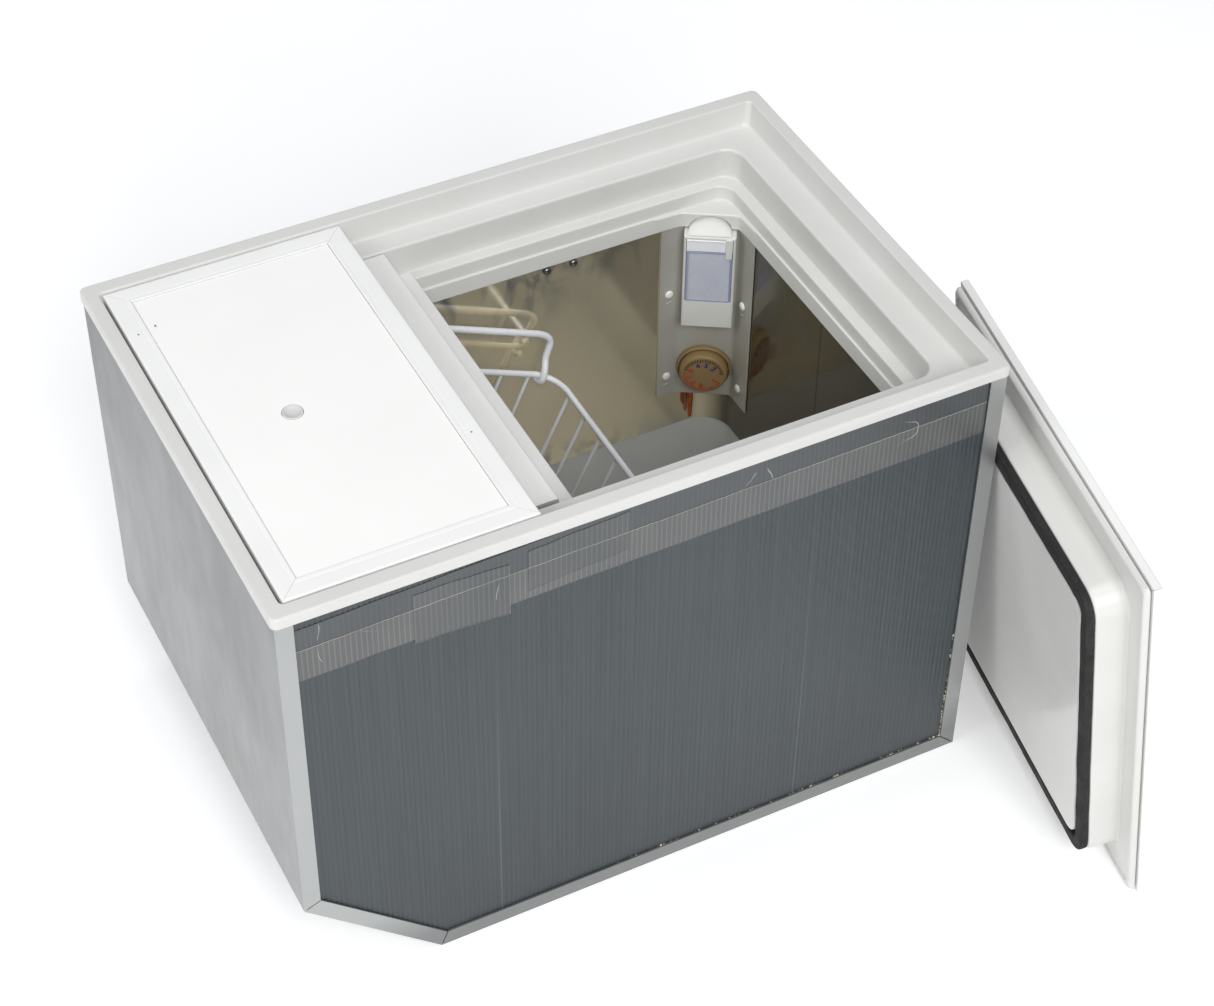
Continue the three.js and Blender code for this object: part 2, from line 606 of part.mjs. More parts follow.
function buildLid(name, halfX, group) {
  const halfY = LID.halfY;
  for (const side of ['front', 'right', 'back', 'left']) {
    add(`${name}_${side}_trim`, lidRail(halfX, halfY, side), 'white', group);
  }
  add(`${name}_panel`, lidPanel(halfX, halfY), 'white', group);
  add(`${name}_plug`, plugBody(), 'white', group);
  add(`${name}_tray`, lidTray(halfX, halfY), 'white', group);
  add(`${name}_core`, lidCore(halfX, halfY), 'foam', group);
  add(`${name}_gasket`, lidGasket(halfX, halfY), 'rubber', group);
  root.add(group);
}

const leftLid = new THREE.Group();
leftLid.position.set(LEFT_LID.centreX, 0, RIM.top - 0.5);
buildLid(LEFT_LID.name, LEFT_LID.halfX, leftLid);

// The right lid is off: it stands on one short end beside the box, seal side to the cabinet.
function standingMatrix() {
  const yaw = THREE.MathUtils.degToRad(RIGHT_LID.yaw);
  const lean = THREE.MathUtils.degToRad(RIGHT_LID.lean);
  const along = new THREE.Vector3(Math.sin(yaw), Math.cos(yaw), 0);
  const toBox = new THREE.Vector3(-Math.cos(yaw), Math.sin(yaw), 0);
  const up = new THREE.Vector3(0, 0, Math.cos(lean)).addScaledVector(toBox, Math.sin(lean));
  const down = up.clone().negate();
  const outward = new THREE.Vector3().crossVectors(down, along);
  const lift = LID.plate * Math.sin(lean);
  const [cornerX, cornerY] = RIGHT_LID.corner;
  const centre = new THREE.Vector3(cornerX, cornerY, lift)
    .addScaledVector(up, RIGHT_LID.halfX)
    .addScaledVector(along, LID.halfY);
  return new THREE.Matrix4().makeBasis(down, along, outward).setPosition(centre);
}

const rightLid = new THREE.Group();
rightLid.applyMatrix4(standingMatrix());
buildLid(RIGHT_LID.name, RIGHT_LID.halfX, rightLid);

// ---------------------------------------------------------------- wire basket
// The basket's own frame: origin at the middle of its right rim wire, x from left to right.
const basketFrame = new THREE.Group();
basketFrame.position.set(BASKET.rimX, 0, BASKET.rimZ);
basketFrame.rotation.y = THREE.MathUtils.degToRad(BASKET.tilt);
root.add(basketFrame);

function basketRim() {
  const { wide, long, wire: radius, corner } = BASKET;
  const sides = 8;
  const stations = [];
  for (let i = 0; i < sides; i += 1) {
    const angle = (2 * Math.PI * i) / sides;
    const out = radius * Math.cos(angle);
    stations.push({
      x: wide / 2 + out, y: long / 2 + out, r: corner + out, z: radius * Math.sin(angle), cx: -wide / 2,
    });
  }
  return loft(stations, { ring: true, perCorner: 5 });
}

// The grid's envelope: a thin-walled open tub hung just outside the rim wire.
function basketBody() {
  const { wide, long, deep, wall, corner } = BASKET;
  const top = -HANDLE.eyeOuter - 1;
  const at = (grow, z) => ({ x: wide / 2 + grow, y: long / 2 + grow, r: corner + grow, z, cx: -wide / 2 });
  return loft([
    at(-4, -deep), at(-1, -deep + 3), at(2.6 + wall, top), at(2.6, top),
    at(-1 - wall, -deep + 4), at(-4 - wall, -deep + wall),
  ], { perCorner: 5 });
}

// A bail: two eyes round the rim wire and one bent wire between them, standing straight up.
function bailHandle() {
  const { wire: radius, bend, high, firstLeg, lastLeg, eyeInner, eyeOuter } = HANDLE;
  const legFoot = (eyeInner + eyeOuter) / 2;
  const points = [
    new THREE.Vector3(-firstLeg, 0, legFoot),
    new THREE.Vector3(-firstLeg, 0, high),
    new THREE.Vector3(-lastLeg, 0, high),
    new THREE.Vector3(-lastLeg, 0, legFoot),
  ];
  let solid = toSolid(wire(points, radius, bend, 40));
  for (const x of [-firstLeg, -lastLeg]) {
    const eye = new THREE.LatheGeometry([
      new THREE.Vector2(eyeInner, -radius), new THREE.Vector2(eyeOuter, -radius),
      new THREE.Vector2(eyeOuter, radius), new THREE.Vector2(eyeInner, radius),
      new THREE.Vector2(eyeInner, -radius),
    ], 20);
    eye.rotateZ(Math.PI / 2);
    eye.translate(x, 0, 0);
    solid = solid.add(toSolid(eye));
  }
  return toGeometry(solid);
}

add('basket_rim', basketRim(), 'wire', basketFrame);
add('basket_body', basketBody(), 'wire', basketFrame);
const backHandle = add('back_handle', bailHandle(), 'wire', basketFrame);
backHandle.position.y = BASKET.long / 2;
backHandle.rotation.x = -THREE.MathUtils.degToRad(HANDLE.lean);
const frontHandle = add('front_handle', bailHandle(), 'wire', basketFrame);
frontHandle.position.y = -BASKET.long / 2;
frontHandle.rotation.x = -THREE.MathUtils.degToRad(HANDLE.foldedBack);

export default root;
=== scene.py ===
"""Top-loading compressor cooler box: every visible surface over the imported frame, in a plain studio."""

import random
from math import cos, exp, hypot, pi, radians, sin

import bmesh
import bpy
from mathutils import Matrix, Vector, noise


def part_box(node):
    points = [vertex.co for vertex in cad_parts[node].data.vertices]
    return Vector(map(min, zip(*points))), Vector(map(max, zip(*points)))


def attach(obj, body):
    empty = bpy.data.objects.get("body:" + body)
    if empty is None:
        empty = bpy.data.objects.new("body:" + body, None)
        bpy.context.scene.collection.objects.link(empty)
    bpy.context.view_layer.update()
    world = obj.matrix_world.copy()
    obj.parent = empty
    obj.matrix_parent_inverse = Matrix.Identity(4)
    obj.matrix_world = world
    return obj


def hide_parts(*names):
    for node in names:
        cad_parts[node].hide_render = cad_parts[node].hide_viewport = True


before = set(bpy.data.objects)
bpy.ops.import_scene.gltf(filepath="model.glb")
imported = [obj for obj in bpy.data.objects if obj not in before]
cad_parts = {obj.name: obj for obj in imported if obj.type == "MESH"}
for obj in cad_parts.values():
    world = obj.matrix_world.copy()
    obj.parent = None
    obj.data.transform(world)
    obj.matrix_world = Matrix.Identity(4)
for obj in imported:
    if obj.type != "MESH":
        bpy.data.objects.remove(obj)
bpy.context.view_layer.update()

MM = 0.001  # every length below is in millimetres until a mesh is made
GAP = 0.3


def extent(node):
    """Lowest and highest corner of a CAD node, in millimetres."""
    low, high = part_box(node)
    return Vector(low) / MM, Vector(high) / MM


def centre_of(node):
    low, high = extent(node)
    return (low + high) / 2


# ---- driving dimensions
HALF_X, HALF_Y, SEAT = extent("cabinet_shell")[1]
RIM_X, RIM_Y, RIM_TOP = extent("top_frame")[1]
PANEL_LOW, PANEL_HIGH = extent("front_panel")
PLATE_LOW, PLATE_HIGH = extent("evaporator_plate")
LINER_LOW, LINER_HIGH = extent("inner_liner")

FLANGE = 13
SHEET = 1.5
FLUTES = 144
FLUTE_PITCH = (PANEL_HIGH.x - PANEL_LOW.x) / FLUTES
HIGHLIGHT_RIBS = (-121, 128)  # two ribs painted paler low down, as painted highlight lines
CHAMFER_WIDE, CHAMFER_HIGH = 103, 100
SLOPE = CHAMFER_HIGH / CHAMFER_WIDE
CHAMFER_END = -HALF_X + CHAMFER_WIDE

# the moulding's steps, each as half length, half width and height
WALL_TOP = (266, 171.5, RIM_TOP)
LEDGE_1_OUT = (262, 167, 379)
LEDGE_1_IN = (239.5, 147.8, 379)
LEDGE_2_OUT = (238, 146, 354.5)
LEDGE_2_IN = (228.5, 136.7, 354.5)
LEDGE_3_OUT = (227.8, 135.6, 343)
LEDGE_3_IN = (226, 133.8, 343)
LIP = (225.5, 133, 329)

LINER_WALL = 3
LINER_OFFSET = 43  # from the cabinet's chamfer to the liner's

PLATE_CORNER = 25
STAIN_X = 20
SEAM_Y = -13.5  # where the ends of the plate's sheet meet, on its right wall
BRACKET_THICK = 1.2
FOLD_LEFT_X, FOLD_RIGHT_Y = 188.5, 112
RIGHT_WALL, BACK_WALL = PLATE_HIGH.x - SHEET, PLATE_HIGH.y - SHEET
BRACKET_WALL_X, BRACKET_WALL_Y = RIGHT_WALL - BRACKET_THICK - GAP, BACK_WALL - BRACKET_THICK - GAP
DIAL_ALONG, DIAL_Z = 22.2, 185

LID_RAIL = 16
LID_PLATE = 6.5
LID_FLANGE = 12
LID_TRAY = 36.2
LID_SEAL = 42.7
LID_HALF_Y = 169.5
BED_INSET_X, BED_HALF_Y = 26.5, LID_HALF_Y - 24
LEFT_HALF_X, RIGHT_HALF_X = 91.25, 171.5
PLUG_X, PLUG_Y = -17, -5
STANDING_CORNER = (326, -374)
STANDING_YAW, STANDING_LEAN = radians(10), radians(7)

BASKET_TILT = radians(24)
BASKET_WIDE, BASKET_LONG, BASKET_DEEP = 226, 236, 204
BASKET_X, BASKET_Z = 70.5, 232
RIM_WIRE, BAIL_WIRE, GRID_WIRE = 2.5, 2.8, 1.5
BASKET_CORNER = 22


# ---- geometry helpers
def merged(*parts):
    """One (vertices, faces) pair from several."""
    verts, faces = [], []
    for part_verts, part_faces in parts:
        base = len(verts)
        verts.extend(part_verts)
        faces.extend(tuple(base + i for i in face) for face in part_faces)
    return verts, faces


def moved(geometry, matrix):
    verts, faces = geometry
    return [matrix @ Vector(v) for v in verts], faces


def skin(loops, ring=False):
    """Quads between successive loops of equal length, with both ends closed unless it is a ring."""
    count = len(loops[0])
    verts = [v for loop in loops for v in loop]
    faces = []
    for row in range(len(loops) if ring else len(loops) - 1):
        low = row * count
        high = ((row + 1) % len(loops)) * count
        for i in range(count):
            j = (i + 1) % count
            faces.append((low + i, low + j, high + j, high + i))
    if not ring:
        last = (len(loops) - 1) * count
        faces.append(tuple(reversed(range(count))))
        faces.append(tuple(range(last, last + count)))
    return verts, faces


def rounded(points, reaches, steps=4, ring=False):
    """Replaces each corner of a polyline in any number of dimensions by a smooth arc."""
    count = len(points)
    result = []
    for k, (corner, reach) in enumerate(zip(points, reaches)):
        if reach <= 0 or (not ring and k in (0, count - 1)):
            result.append(tuple(corner))
            continue
        ends = []
        for other in (points[k - 1], points[(k + 1) % count]):
            length = hypot(*(q - p for p, q in zip(corner, other)))
            share = min(0.48, reach / length)
            ends.append([p + (q - p) * share for p, q in zip(corner, other)])
        for step in range(steps + 1):
            t = step / steps
            weights = ((1 - t) ** 2, 2 * t * (1 - t), t * t)
            result.append(tuple(
                sum(w * c for w, c in zip(weights, trio)) for trio in zip(ends[0], corner, ends[1])
            ))
    return result


def circle(radius, z, sides, x=0, y=0):
    turns = [2 * pi * i / sides for i in range(sides)]
    return [(x + radius * cos(a), y + radius * sin(a), z) for a in turns]


def rounded_loop(x, y, r, z, cx=0, steps=10):
    """A level rectangle with round corners, from its half sizes."""
    loop = []
    for sx, sy, start in ((1, -1, -90), (1, 1, 0), (-1, 1, 90), (-1, -1, 180)):
        for i in range(steps + 1):
            angle = radians(start + 90 * i / steps)
            loop.append((cx + sx * (x - r) + r * cos(angle), sy * (y - r) + r * sin(angle), z))
    return loop


def stepped(stations, ring=False, steps=12, arc=4):
    """Joins rounded rectangles. A station is (half x, half y, corner, z, fillet) and maybe a centre x."""
    full = [(*s, 0) if len(s) == 5 else s for s in stations]
    points = [(x, y, r, z, cx) for x, y, r, z, _, cx in full]
    smooth = rounded(points, [s[4] for s in full], arc, ring)
    return skin([rounded_loop(*point, steps) for point in smooth], ring)


def turned(profile, segments=48, relief=None):
    """A turned piece about Z from [radius, height]; relief(radius, angle) is added to the height."""
    loops = []
    for radius, height in profile:
        loop = []
        for i in range(segments):
            angle = 2 * pi * i / segments
            lift = relief(radius, angle) if relief else 0
            loop.append((radius * cos(angle), radius * sin(angle), height + lift))
        loops.append(loop)
    return skin(loops)


def tube(points, radius, sides=12, closed=False):
    """A round wire along points, without twist."""
    points = [Vector(p) for p in points]
    count = len(points)
    side = None
    loops = []
    for k, point in enumerate(points):
        before = points[k - 1] if k or closed else point
        after = points[(k + 1) % count] if k < count - 1 or closed else point
        along = (after - before).normalized()
        if side is None:
            side = along.orthogonal()
        side = (side - along * side.dot(along)).normalized()
        other = along.cross(side)
        loops.append([
            point + radius * (cos(2 * pi * i / sides) * side + sin(2 * pi * i / sides) * other)
            for i in range(sides)
        ])
    return skin(loops, ring=closed)


def capped_tube(points, radius, sides=12):
    """A wire whose ends are rounded off."""
    points = [Vector(p) for p in points]
    start = (points[0] - points[1]).normalized()
    end = (points[-1] - points[-2]).normalized()
    parts = [tube(points, radius, sides)]
    for tip, way in ((points[0], start), (points[-1], end)):
        profile = [(radius * cos(radians(a)), radius * 0.6 * sin(radians(a))) for a in (0, 30, 60, 90)]
        turn = way.to_track_quat("Z", "Y").to_matrix().to_4x4()
        parts.append(moved(turned(profile, sides), Matrix.Translation(tip) @ turn))
    return merged(*parts)


def block(low, high):
    (left, near, foot), (right, far, head) = low, high
    return skin([[(left, near, z), (right, near, z), (right, far, z), (left, far, z)] for z in (foot, head)])


def prism(outline, low, high):
    """A flat outline in X and Y, given thickness from low to high."""
    return skin([[(x, y, z) for x, y in outline] for z in (low, high)])


def facing(origin, outward, up=(0, 0, 1)):
    """A frame with Z pointing outward and Y pointing up."""
    outward, up = Vector(outward).normalized(), Vector(up)
    across = up.cross(outward).normalized()
    matrix = Matrix((across, outward.cross(across), outward)).transposed().to_4x4()
    return Matrix.Translation(Vector(origin)) @ matrix


def make(name, geometry, slot, nodes=(), body="cabinet", finish=None, sharp=35, bevel=0, segments=2):
    """A finished piece on one of the bodies; nodes are the CAD solids it stands for."""
    verts, faces = geometry
    mesh = bpy.data.meshes.new(name)
    mesh.from_pydata([Vector(v) * MM for v in verts], [], faces)
    clean = bmesh.new()
    clean.from_mesh(mesh)
    bmesh.ops.remove_doubles(clean, verts=clean.verts, dist=2e-7)
    bmesh.ops.recalc_face_normals(clean, faces=clean.faces)
    clean.to_mesh(mesh)
    clean.free()
    mesh.shade_smooth()
    mesh.set_sharp_from_angle(angle=radians(sharp))
    mesh.materials.append(finish or FINISH[slot])
    obj = bpy.data.objects.new(name, mesh)
    bpy.context.scene.collection.objects.link(obj)
    if bevel:
        round_edges(obj, bevel, segments, sharp)
    weighted = obj.modifiers.new("weighted", "WEIGHTED_NORMAL")
    weighted.keep_sharp = True
    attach(obj, body)
    if nodes:
        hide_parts(*nodes)


def round_edges(obj, width, segments=2, angle=35):
    bevel = obj.modifiers.new("bevel", "BEVEL")
    bevel.width = width * MM
    bevel.segments = segments
    bevel.limit_method = "ANGLE"
    bevel.angle_limit = radians(angle)
    bevel.harden_normals = False


# ---- materials
def srgb(code):
    """Linear colour from a six-digit sRGB code."""
    channels = [int(code[i:i + 2], 16) / 255 for i in (0, 2, 4)]
    return (*(c / 12.92 if c <= 0.04045 else ((c + 0.055) / 1.055) ** 2.4 for c in channels), 1.0)


class Paint:
    """One procedural material, built round a Principled shader in object coordinates."""

    def __init__(self, name, **settings):
        self.material = bpy.data.materials.new(name)
        self.material.use_nodes = True
        tree = self.material.node_tree
        tree.nodes.clear()
        self.nodes, self.links = tree.nodes, tree.links
        output = self.nodes.new("ShaderNodeOutputMaterial")
        self.shader = self.nodes.new("ShaderNodeBsdfPrincipled")
        self.links.new(self.shader.outputs["BSDF"], output.inputs["Surface"])
        self.place = self.nodes.new("ShaderNodeTexCoord").outputs["Object"]
        for socket, value in settings.items():
            self.shader.inputs[socket.replace("_", " ")].default_value = value

    def node(self, kind, inputs, **attributes):
        node = self.nodes.new("ShaderNode" + kind)
        for key, value in attributes.items():
            setattr(node, key, value)
        for key, value in inputs.items():
            if isinstance(value, bpy.types.NodeSocket):
                self.links.new(value, node.inputs[key])
            else:
                node.inputs[key].default_value = value
        return node

    def noise(self, scale, detail=3.0, stretch=(1, 1, 1), distortion=0.0):
        vector = self.node("Mapping", {"Vector": self.place, "Scale": stretch}).outputs["Vector"]
        inputs = {"Vector": vector, "Scale": scale, "Detail": detail, "Distortion": distortion}
        return self.node("TexNoise", inputs).outputs["Fac"]

    def ribs(self):
        """One on the ribs of the fluted panels and nought between them."""
        phase = self.math("FRACT", self.math("MULTIPLY", self.axis("X"), 1 / (FLUTE_PITCH * MM)))
        return self.span(self.math("ABSOLUTE", self.math("SUBTRACT", phase, 0.5)), 0, 1, 0.3, 0.5)

    def scratches(self, scale):
        """Sparse curved hairlines: contour lines of one noise, kept only where another is high."""
        field = self.math("ABSOLUTE", self.math("SUBTRACT", self.noise(scale, 0), 0.5))
        kept = self.span(self.noise(scale * 0.8, 0, stretch=(1, 1, 2)), 0, 1, 0.62, 0.68)
        return self.math("MULTIPLY", self.span(field, 1, 0, 0.002, 0.006), kept)

    def axis(self, name):
        return self.node("SeparateXYZ", {"Vector": self.place}).outputs[name]

    def away(self, axis, place):
        """Distance to either side of a place on one axis."""
        return self.math("ABSOLUTE", self.math("SUBTRACT", self.axis(axis), place * MM))

    def math(self, operation, *values):
        return self.node("Math", dict(enumerate(values)), operation=operation).outputs["Value"]

    def span(self, source, low, high, first=0.35, last=0.65):
        inputs = {"Value": source, "From Min": first, "From Max": last, "To Min": low, "To Max": high}
        return self.node("MapRange", inputs).outputs["Result"]

    def ramp(self, source, low, high, first, last):
        """A span whose ends are given in millimetres."""
        return self.span(source, low, high, first * MM, last * MM)

    def cloud(self, scale, detail=3.0, between=(0, 1), **settings):
        """Soft patches that run from one value to another."""
        return self.span(self.noise(scale, detail, **settings), *between)

    def mix(self, factor, *colours):
        """Colours are sockets, or six-digit codes."""
        first, second = (srgb(c) if isinstance(c, str) else c for c in colours)
        return self.node("Mix", {0: factor, 6: first, 7: second}, data_type="RGBA").outputs[2]

    def colour(self, factor, first, second):
        return self.drive("Base Color", self.mix(factor, first, second))

    def drive(self, socket, source):
        self.links.new(source, self.shader.inputs[socket])
        return self

    def gloss(self, between, scale, detail, **settings):
        """Roughness that wanders between two values."""
        return self.drive("Roughness", self.cloud(scale, detail, between, **settings))

    def bump(self, height, strength, distance=0.05):
        """Distance is the relief's depth in millimetres at full strength."""
        node = self.node("Bump", {"Height": height, "Strength": strength, "Distance": distance * MM})
        return self.drive("Normal", node.outputs["Normal"])


def moulded(name, light, dark, gloss, grain=1400, depth=0.03, **settings):
    """Moulded plastic: faint cloudiness, uneven gloss and a fine orange-peel skin."""
    paint = Paint(name, **settings)
    paint.colour(paint.cloud(14, 5), light, dark)
    paint.gloss(gloss, 60, 4)
    return paint.bump(paint.noise(grain, 2), 0.35, depth).material


def mill_sheet():
    """Galvanised sheet: spangle and scratches, with painted shade towards the top and painted light on the front
    and back folds.
    """
    paint = Paint("mill_sheet", Metallic=0.85)
    cloud = paint.noise(9, 6, distortion=0.6)
    spangle = paint.cloud(70, 4, stretch=(1, 1, 0.35))
    both = paint.math("MULTIPLY_ADD", spangle, 0.3, paint.math("MULTIPLY", cloud, 0.7))
    base = paint.mix(paint.span(both, 0, 1, 0.3, 0.75), "929394", "a1a1a0")
    height = paint.axis("Z")
    # painted shade: the sheet darkens towards the top
    painted_top_shade = paint.mix(paint.ramp(height, 0, 0.45, 180, 390), base, "6f7172")
    # painted light: the front and back folds are paler, and darker at their foot
    lit_fold_colour = paint.mix(paint.ramp(height, 0, 1, 20, 60), "8a8b8b", "b6b8b7")
    lit_fold_mask = paint.ramp(paint.math("ABSOLUTE", paint.axis("Y")), 0, 0.8, HALF_Y - 0.5, HALF_Y - 0.1)
    paint.colour(lit_fold_mask, painted_top_shade, lit_fold_colour)
    paint.drive("Roughness", paint.span(cloud, 0.36, 0.5))
    return paint.bump(paint.noise(220, 3, stretch=(1, 1, 0.06)), 0.25, 0.04).material


def fluted_polypropylene():
    """Twin-wall sheet: the ribs show through the skin as thin darker lines, two of them painted pale as highlight
    lines; painted shade darkens it towards the foot.
    """
    paint = Paint("fluted_polypropylene", Coat_Weight=0.15, Coat_Roughness=0.3)
    tone = paint.mix(paint.cloud(5, 5, stretch=(1, 1, 0.5)), "2e363a", "323a3e")
    tone = paint.mix(paint.math("MULTIPLY", paint.ribs(), 0.5), tone, "20262a")
    tone = paint.mix(paint.cloud(500, 2, (0, 0.12), stretch=(1, 1, 0.01)), tone, "5c6569")
    height = paint.axis("Z")
    fade = paint.ramp(height, 0.4, 0, 80, 300)
    # painted highlight: two ribs paler low down
    for x in HIGHLIGHT_RIBS:
        rib_highlight = paint.math("MULTIPLY", paint.ramp(paint.away("X", x), 1, 0, 0.25, 0.6), fade)
        tone = paint.mix(rib_highlight, tone, "7d8689")
    # painted shade: darker towards the foot of the panel
    paint.colour(paint.ramp(height, 0.35, 0, 0, 170), tone, "20272b")
    paint.gloss((0.43, 0.46), 25, 3)
    return paint.bump(paint.noise(900, 2), 0.2, 0.01).material


def clear_tape(name, milk, contact, tone="8d8a84"):
    """Packing tape on the flutes, in the panel's own colours: dulled by the film and paler on each rib."""
    paint = Paint(name, Coat_Weight=0.25, Coat_Roughness=0.25)
    film = paint.mix(paint.cloud(26, 4, (milk * 0.7, milk), stretch=(1, 1, 0.5)), "31393e", tone)
    ribbed = paint.mix(paint.math("MULTIPLY", paint.ribs(), contact), film, "b8b4ac")
    paint.colour(paint.math("MULTIPLY", paint.scratches(30), 0.5), ribbed, "c4c1ba")
    paint.gloss((0.36, 0.42), 60, 2)
    return paint.bump(paint.noise(40, 1), 0.1, 0.02).material


def cold_plate():
    """Polished sheet with a warm lacquer: it mirrors the box, is stained blue by the screws and has painted shade
    on its right wall.
    """
    paint = Paint("cold_plate", Metallic=0.84)
    tone = paint.mix(paint.cloud(6, 4), "f3e8ca", "faf0d5")
    # painted shade: the right wall is darkened
    shaded_right_wall = paint.ramp(paint.axis("X"), 0, 0.9, PLATE_HIGH.x - 18, PLATE_HIGH.x - 2)
    tone = paint.mix(shaded_right_wall, tone, "504c40")
    height = paint.axis("Z")
    high_band = paint.ramp(height, 0, 1, PLATE_HIGH.z - 60, PLATE_HIGH.z - 8)
    low_band = paint.ramp(height, 1, 0, PLATE_LOW.z + 2, PLATE_LOW.z + 26)
    near = paint.ramp(paint.away("X", STAIN_X), 1, 0.3, 50, 120)
    bands = paint.math("MULTIPLY", paint.math("MAXIMUM", high_band, low_band), near)
    blot = paint.span(paint.noise(38, 5, (1, 1, 0.5), distortion=1.2), 0, 0.85, 0.45, 0.62)
    tone = paint.mix(paint.math("MULTIPLY", blot, bands), tone, "737c92")
    seam = paint.math("MULTIPLY", paint.ramp(paint.away("Y", SEAM_Y), 1, 0, 0.35, 0.8), shaded_right_wall)
    paint.colour(seam, tone, "2a2721")
    paint.gloss((0.06, 0.17), 22, 5, stretch=(1, 1, 0.2))
    return paint.bump(paint.noise(16, 2), 0.25, 0.25).material


def porous(name, light, dark, patches, pores, strength, depth, gloss=None, **settings):
    """Cellular rubber or foam: matt, with open pores."""
    paint = Paint(name, **settings)
    paint.colour(paint.cloud(*patches), light, dark)
    if gloss:
        paint.gloss(gloss, 80, 3)
    holes = paint.node("TexVoronoi", {"Vector": paint.place, "Scale": pores}).outputs["Distance"]
    return paint.bump(holes, strength, depth).material


def metal(name, light, dark, gloss, scale=60):
    paint = Paint(name, Metallic=1.0)
    paint.colour(paint.cloud(scale, 5), light, dark)
    paint.gloss(gloss, scale * 2, 4)
    return paint.bump(paint.noise(scale * 8, 3), 0.3, 0.02).material


def cast_lens():
    """Frosted blue-lilac lamp cover, seen as milky plastic."""
    paint = Paint("cast_lens", Coat_Weight=0.5, Coat_Roughness=0.08)
    paint.colour(paint.cloud(18, 2), "b9bccb", "c6c8d0")
    paint.gloss((0.18, 0.35), 90, 3)
    return paint.bump(paint.noise(700, 2), 0.3, 0.03).material


FINISH = {
    "sheet_metal": mill_sheet(),
    "fluted_sheet": fluted_polypropylene(),
    "foam": porous("foam_board", "efe7cf", "dccf9f", (90, 5), 1400, 0.8, 0.3, Roughness=0.95),
    "gasket": porous("foam_rubber", "141414", "262625", (500, 4), 900, 0.7, 0.25, (0.75, 0.92)),
    "evaporator": cold_plate(),
    "lens": cast_lens(),
    "moulding": moulded("frame_moulding", "d3d3d0", "cfcfcb", (0.32, 0.38)),
    "lid_trim": moulded("lid_trim_white", "ececea", "e8e8e6", (0.3, 0.35)),
    "lid_panel": moulded("lid_panel_white", "f1f1ee", "efefec", (0.4, 0.45), grain=2200),
    "lid_tray": moulded("lid_tray_white", "d8d8d4", "d4d4d0", (0.28, 0.33), grain=900, depth=0.01),
    "white_plastic": moulded("white_plastic", "d6d7d3", "cccdc9", (0.3, 0.42)),
    "rivet": moulded("nylon_rivet", "f0f0ec", "e3e3df", (0.25, 0.35)),
    "liner": moulded("liner_grey", "d8dad8", "cfd1cf", (0.3, 0.42)),
    "bracket": moulded("bracket_grey", "b9b8b0", "acaba3", (0.34, 0.46), Metallic=0.25),
    "dial": moulded("dial_beige", "90784f", "816945", (0.38, 0.52)),
    "bulb": moulded("bulb_glass", "f4efe0", "e9e2cc", (0.1, 0.2)),
    "coated_wire": moulded("coated_wire", "e4e6ea", "d9dbe1", (0.22, 0.34), grain=1800),
    "black_rubber": moulded("black_rubber", "1c1c1c", "2a2a29", (0.5, 0.7)),
    "screw": metal("plated_screw", "9a9a98", "6f6e6a", (0.22, 0.4)),
    "copper": metal("copper", "d0743f", "9c5230", (0.22, 0.42), scale=120),
    "brass": metal("brass", "c9ab62", "a88a45", (0.22, 0.38)),
}
# painted light: the divider gets a lighter copy of the moulding's white
LIT_DIVIDER_WHITE = moulded("divider_lit_white", "e2e2df", "dededb", (0.32, 0.38))
PLUG_GREY = moulded("plug_grey", "cbcbc9", "c4c4c2", (0.3, 0.4))
CLEAR = moulded("clear_plastic", "eceef2", "e2e5ec", (0.05, 0.12), Coat_Weight=0.6, Coat_Roughness=0.05)
LENS_BORDER = moulded("lens_border", "969dba", "8b92ae", (0.15, 0.3), Coat_Weight=0.5, Coat_Roughness=0.08)
BLUE_INK = moulded("blue_ink", "263a6b", "1f2f58", (0.4, 0.6))
BLACK_INK = moulded("black_ink", "26262b", "1b1b20", (0.4, 0.6))
RED_INK = moulded("red_ink", "b5321f", "9d2a1a", (0.4, 0.6))
# painted shade: dark discs stand for the depth of the lid's pin holes
HOLE_SHADE = moulded("painted_hole_shade", "2b2b2a", "212120", (0.6, 0.8))
UNDER_PANEL = moulded("under_panel_gloss", "e0e0dc", "dcdcd8", (0.2, 0.24), grain=60, depth=0.01)

for body_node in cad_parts.values():
    slot_name = body_node.data.materials[0].name.split(".")[0]
    body_node.data.materials[0] = FINISH[slot_name]


# ---- studio
CAMERA_AT = (-0.635, -1.322, 1.640)
CAMERA_AZIMUTH, CAMERA_ELEVATION, CAMERA_ROLL = 0.481636, 0.767375, 0.0148328
CAMERA_LENS = 80.65


def add_camera():
    a, e, r = CAMERA_AZIMUTH, CAMERA_ELEVATION, CAMERA_ROLL
    forward = Vector((sin(a) * cos(e), cos(a) * cos(e), -sin(e)))
    right = Vector((cos(a), -sin(a), 0))
    up = right.cross(forward)
    across = right * cos(r) + up * sin(r)
    above = -right * sin(r) + up * cos(r)
    data = bpy.data.cameras.new("camera")
    data.lens = CAMERA_LENS
    data.sensor_width = 36
    camera = bpy.data.objects.new("camera", data)
    turn = Matrix((across, above, -forward)).transposed().to_4x4()
    camera.matrix_world = Matrix.Translation(CAMERA_AT) @ turn
    bpy.context.scene.collection.objects.link(camera)
    bpy.context.scene.camera = camera


def add_softbox(name, place, target, size, power):
    data = bpy.data.lights.new(name, "AREA")
    data.shape = "RECTANGLE"
    data.size, data.size_y = size
    data.energy = power
    lamp = bpy.data.objects.new(name, data)
    lamp.location = place
    lamp.rotation_euler = (Vector(target) - Vector(place)).to_track_quat("-Z", "Y").to_euler()
    bpy.context.scene.collection.objects.link(lamp)


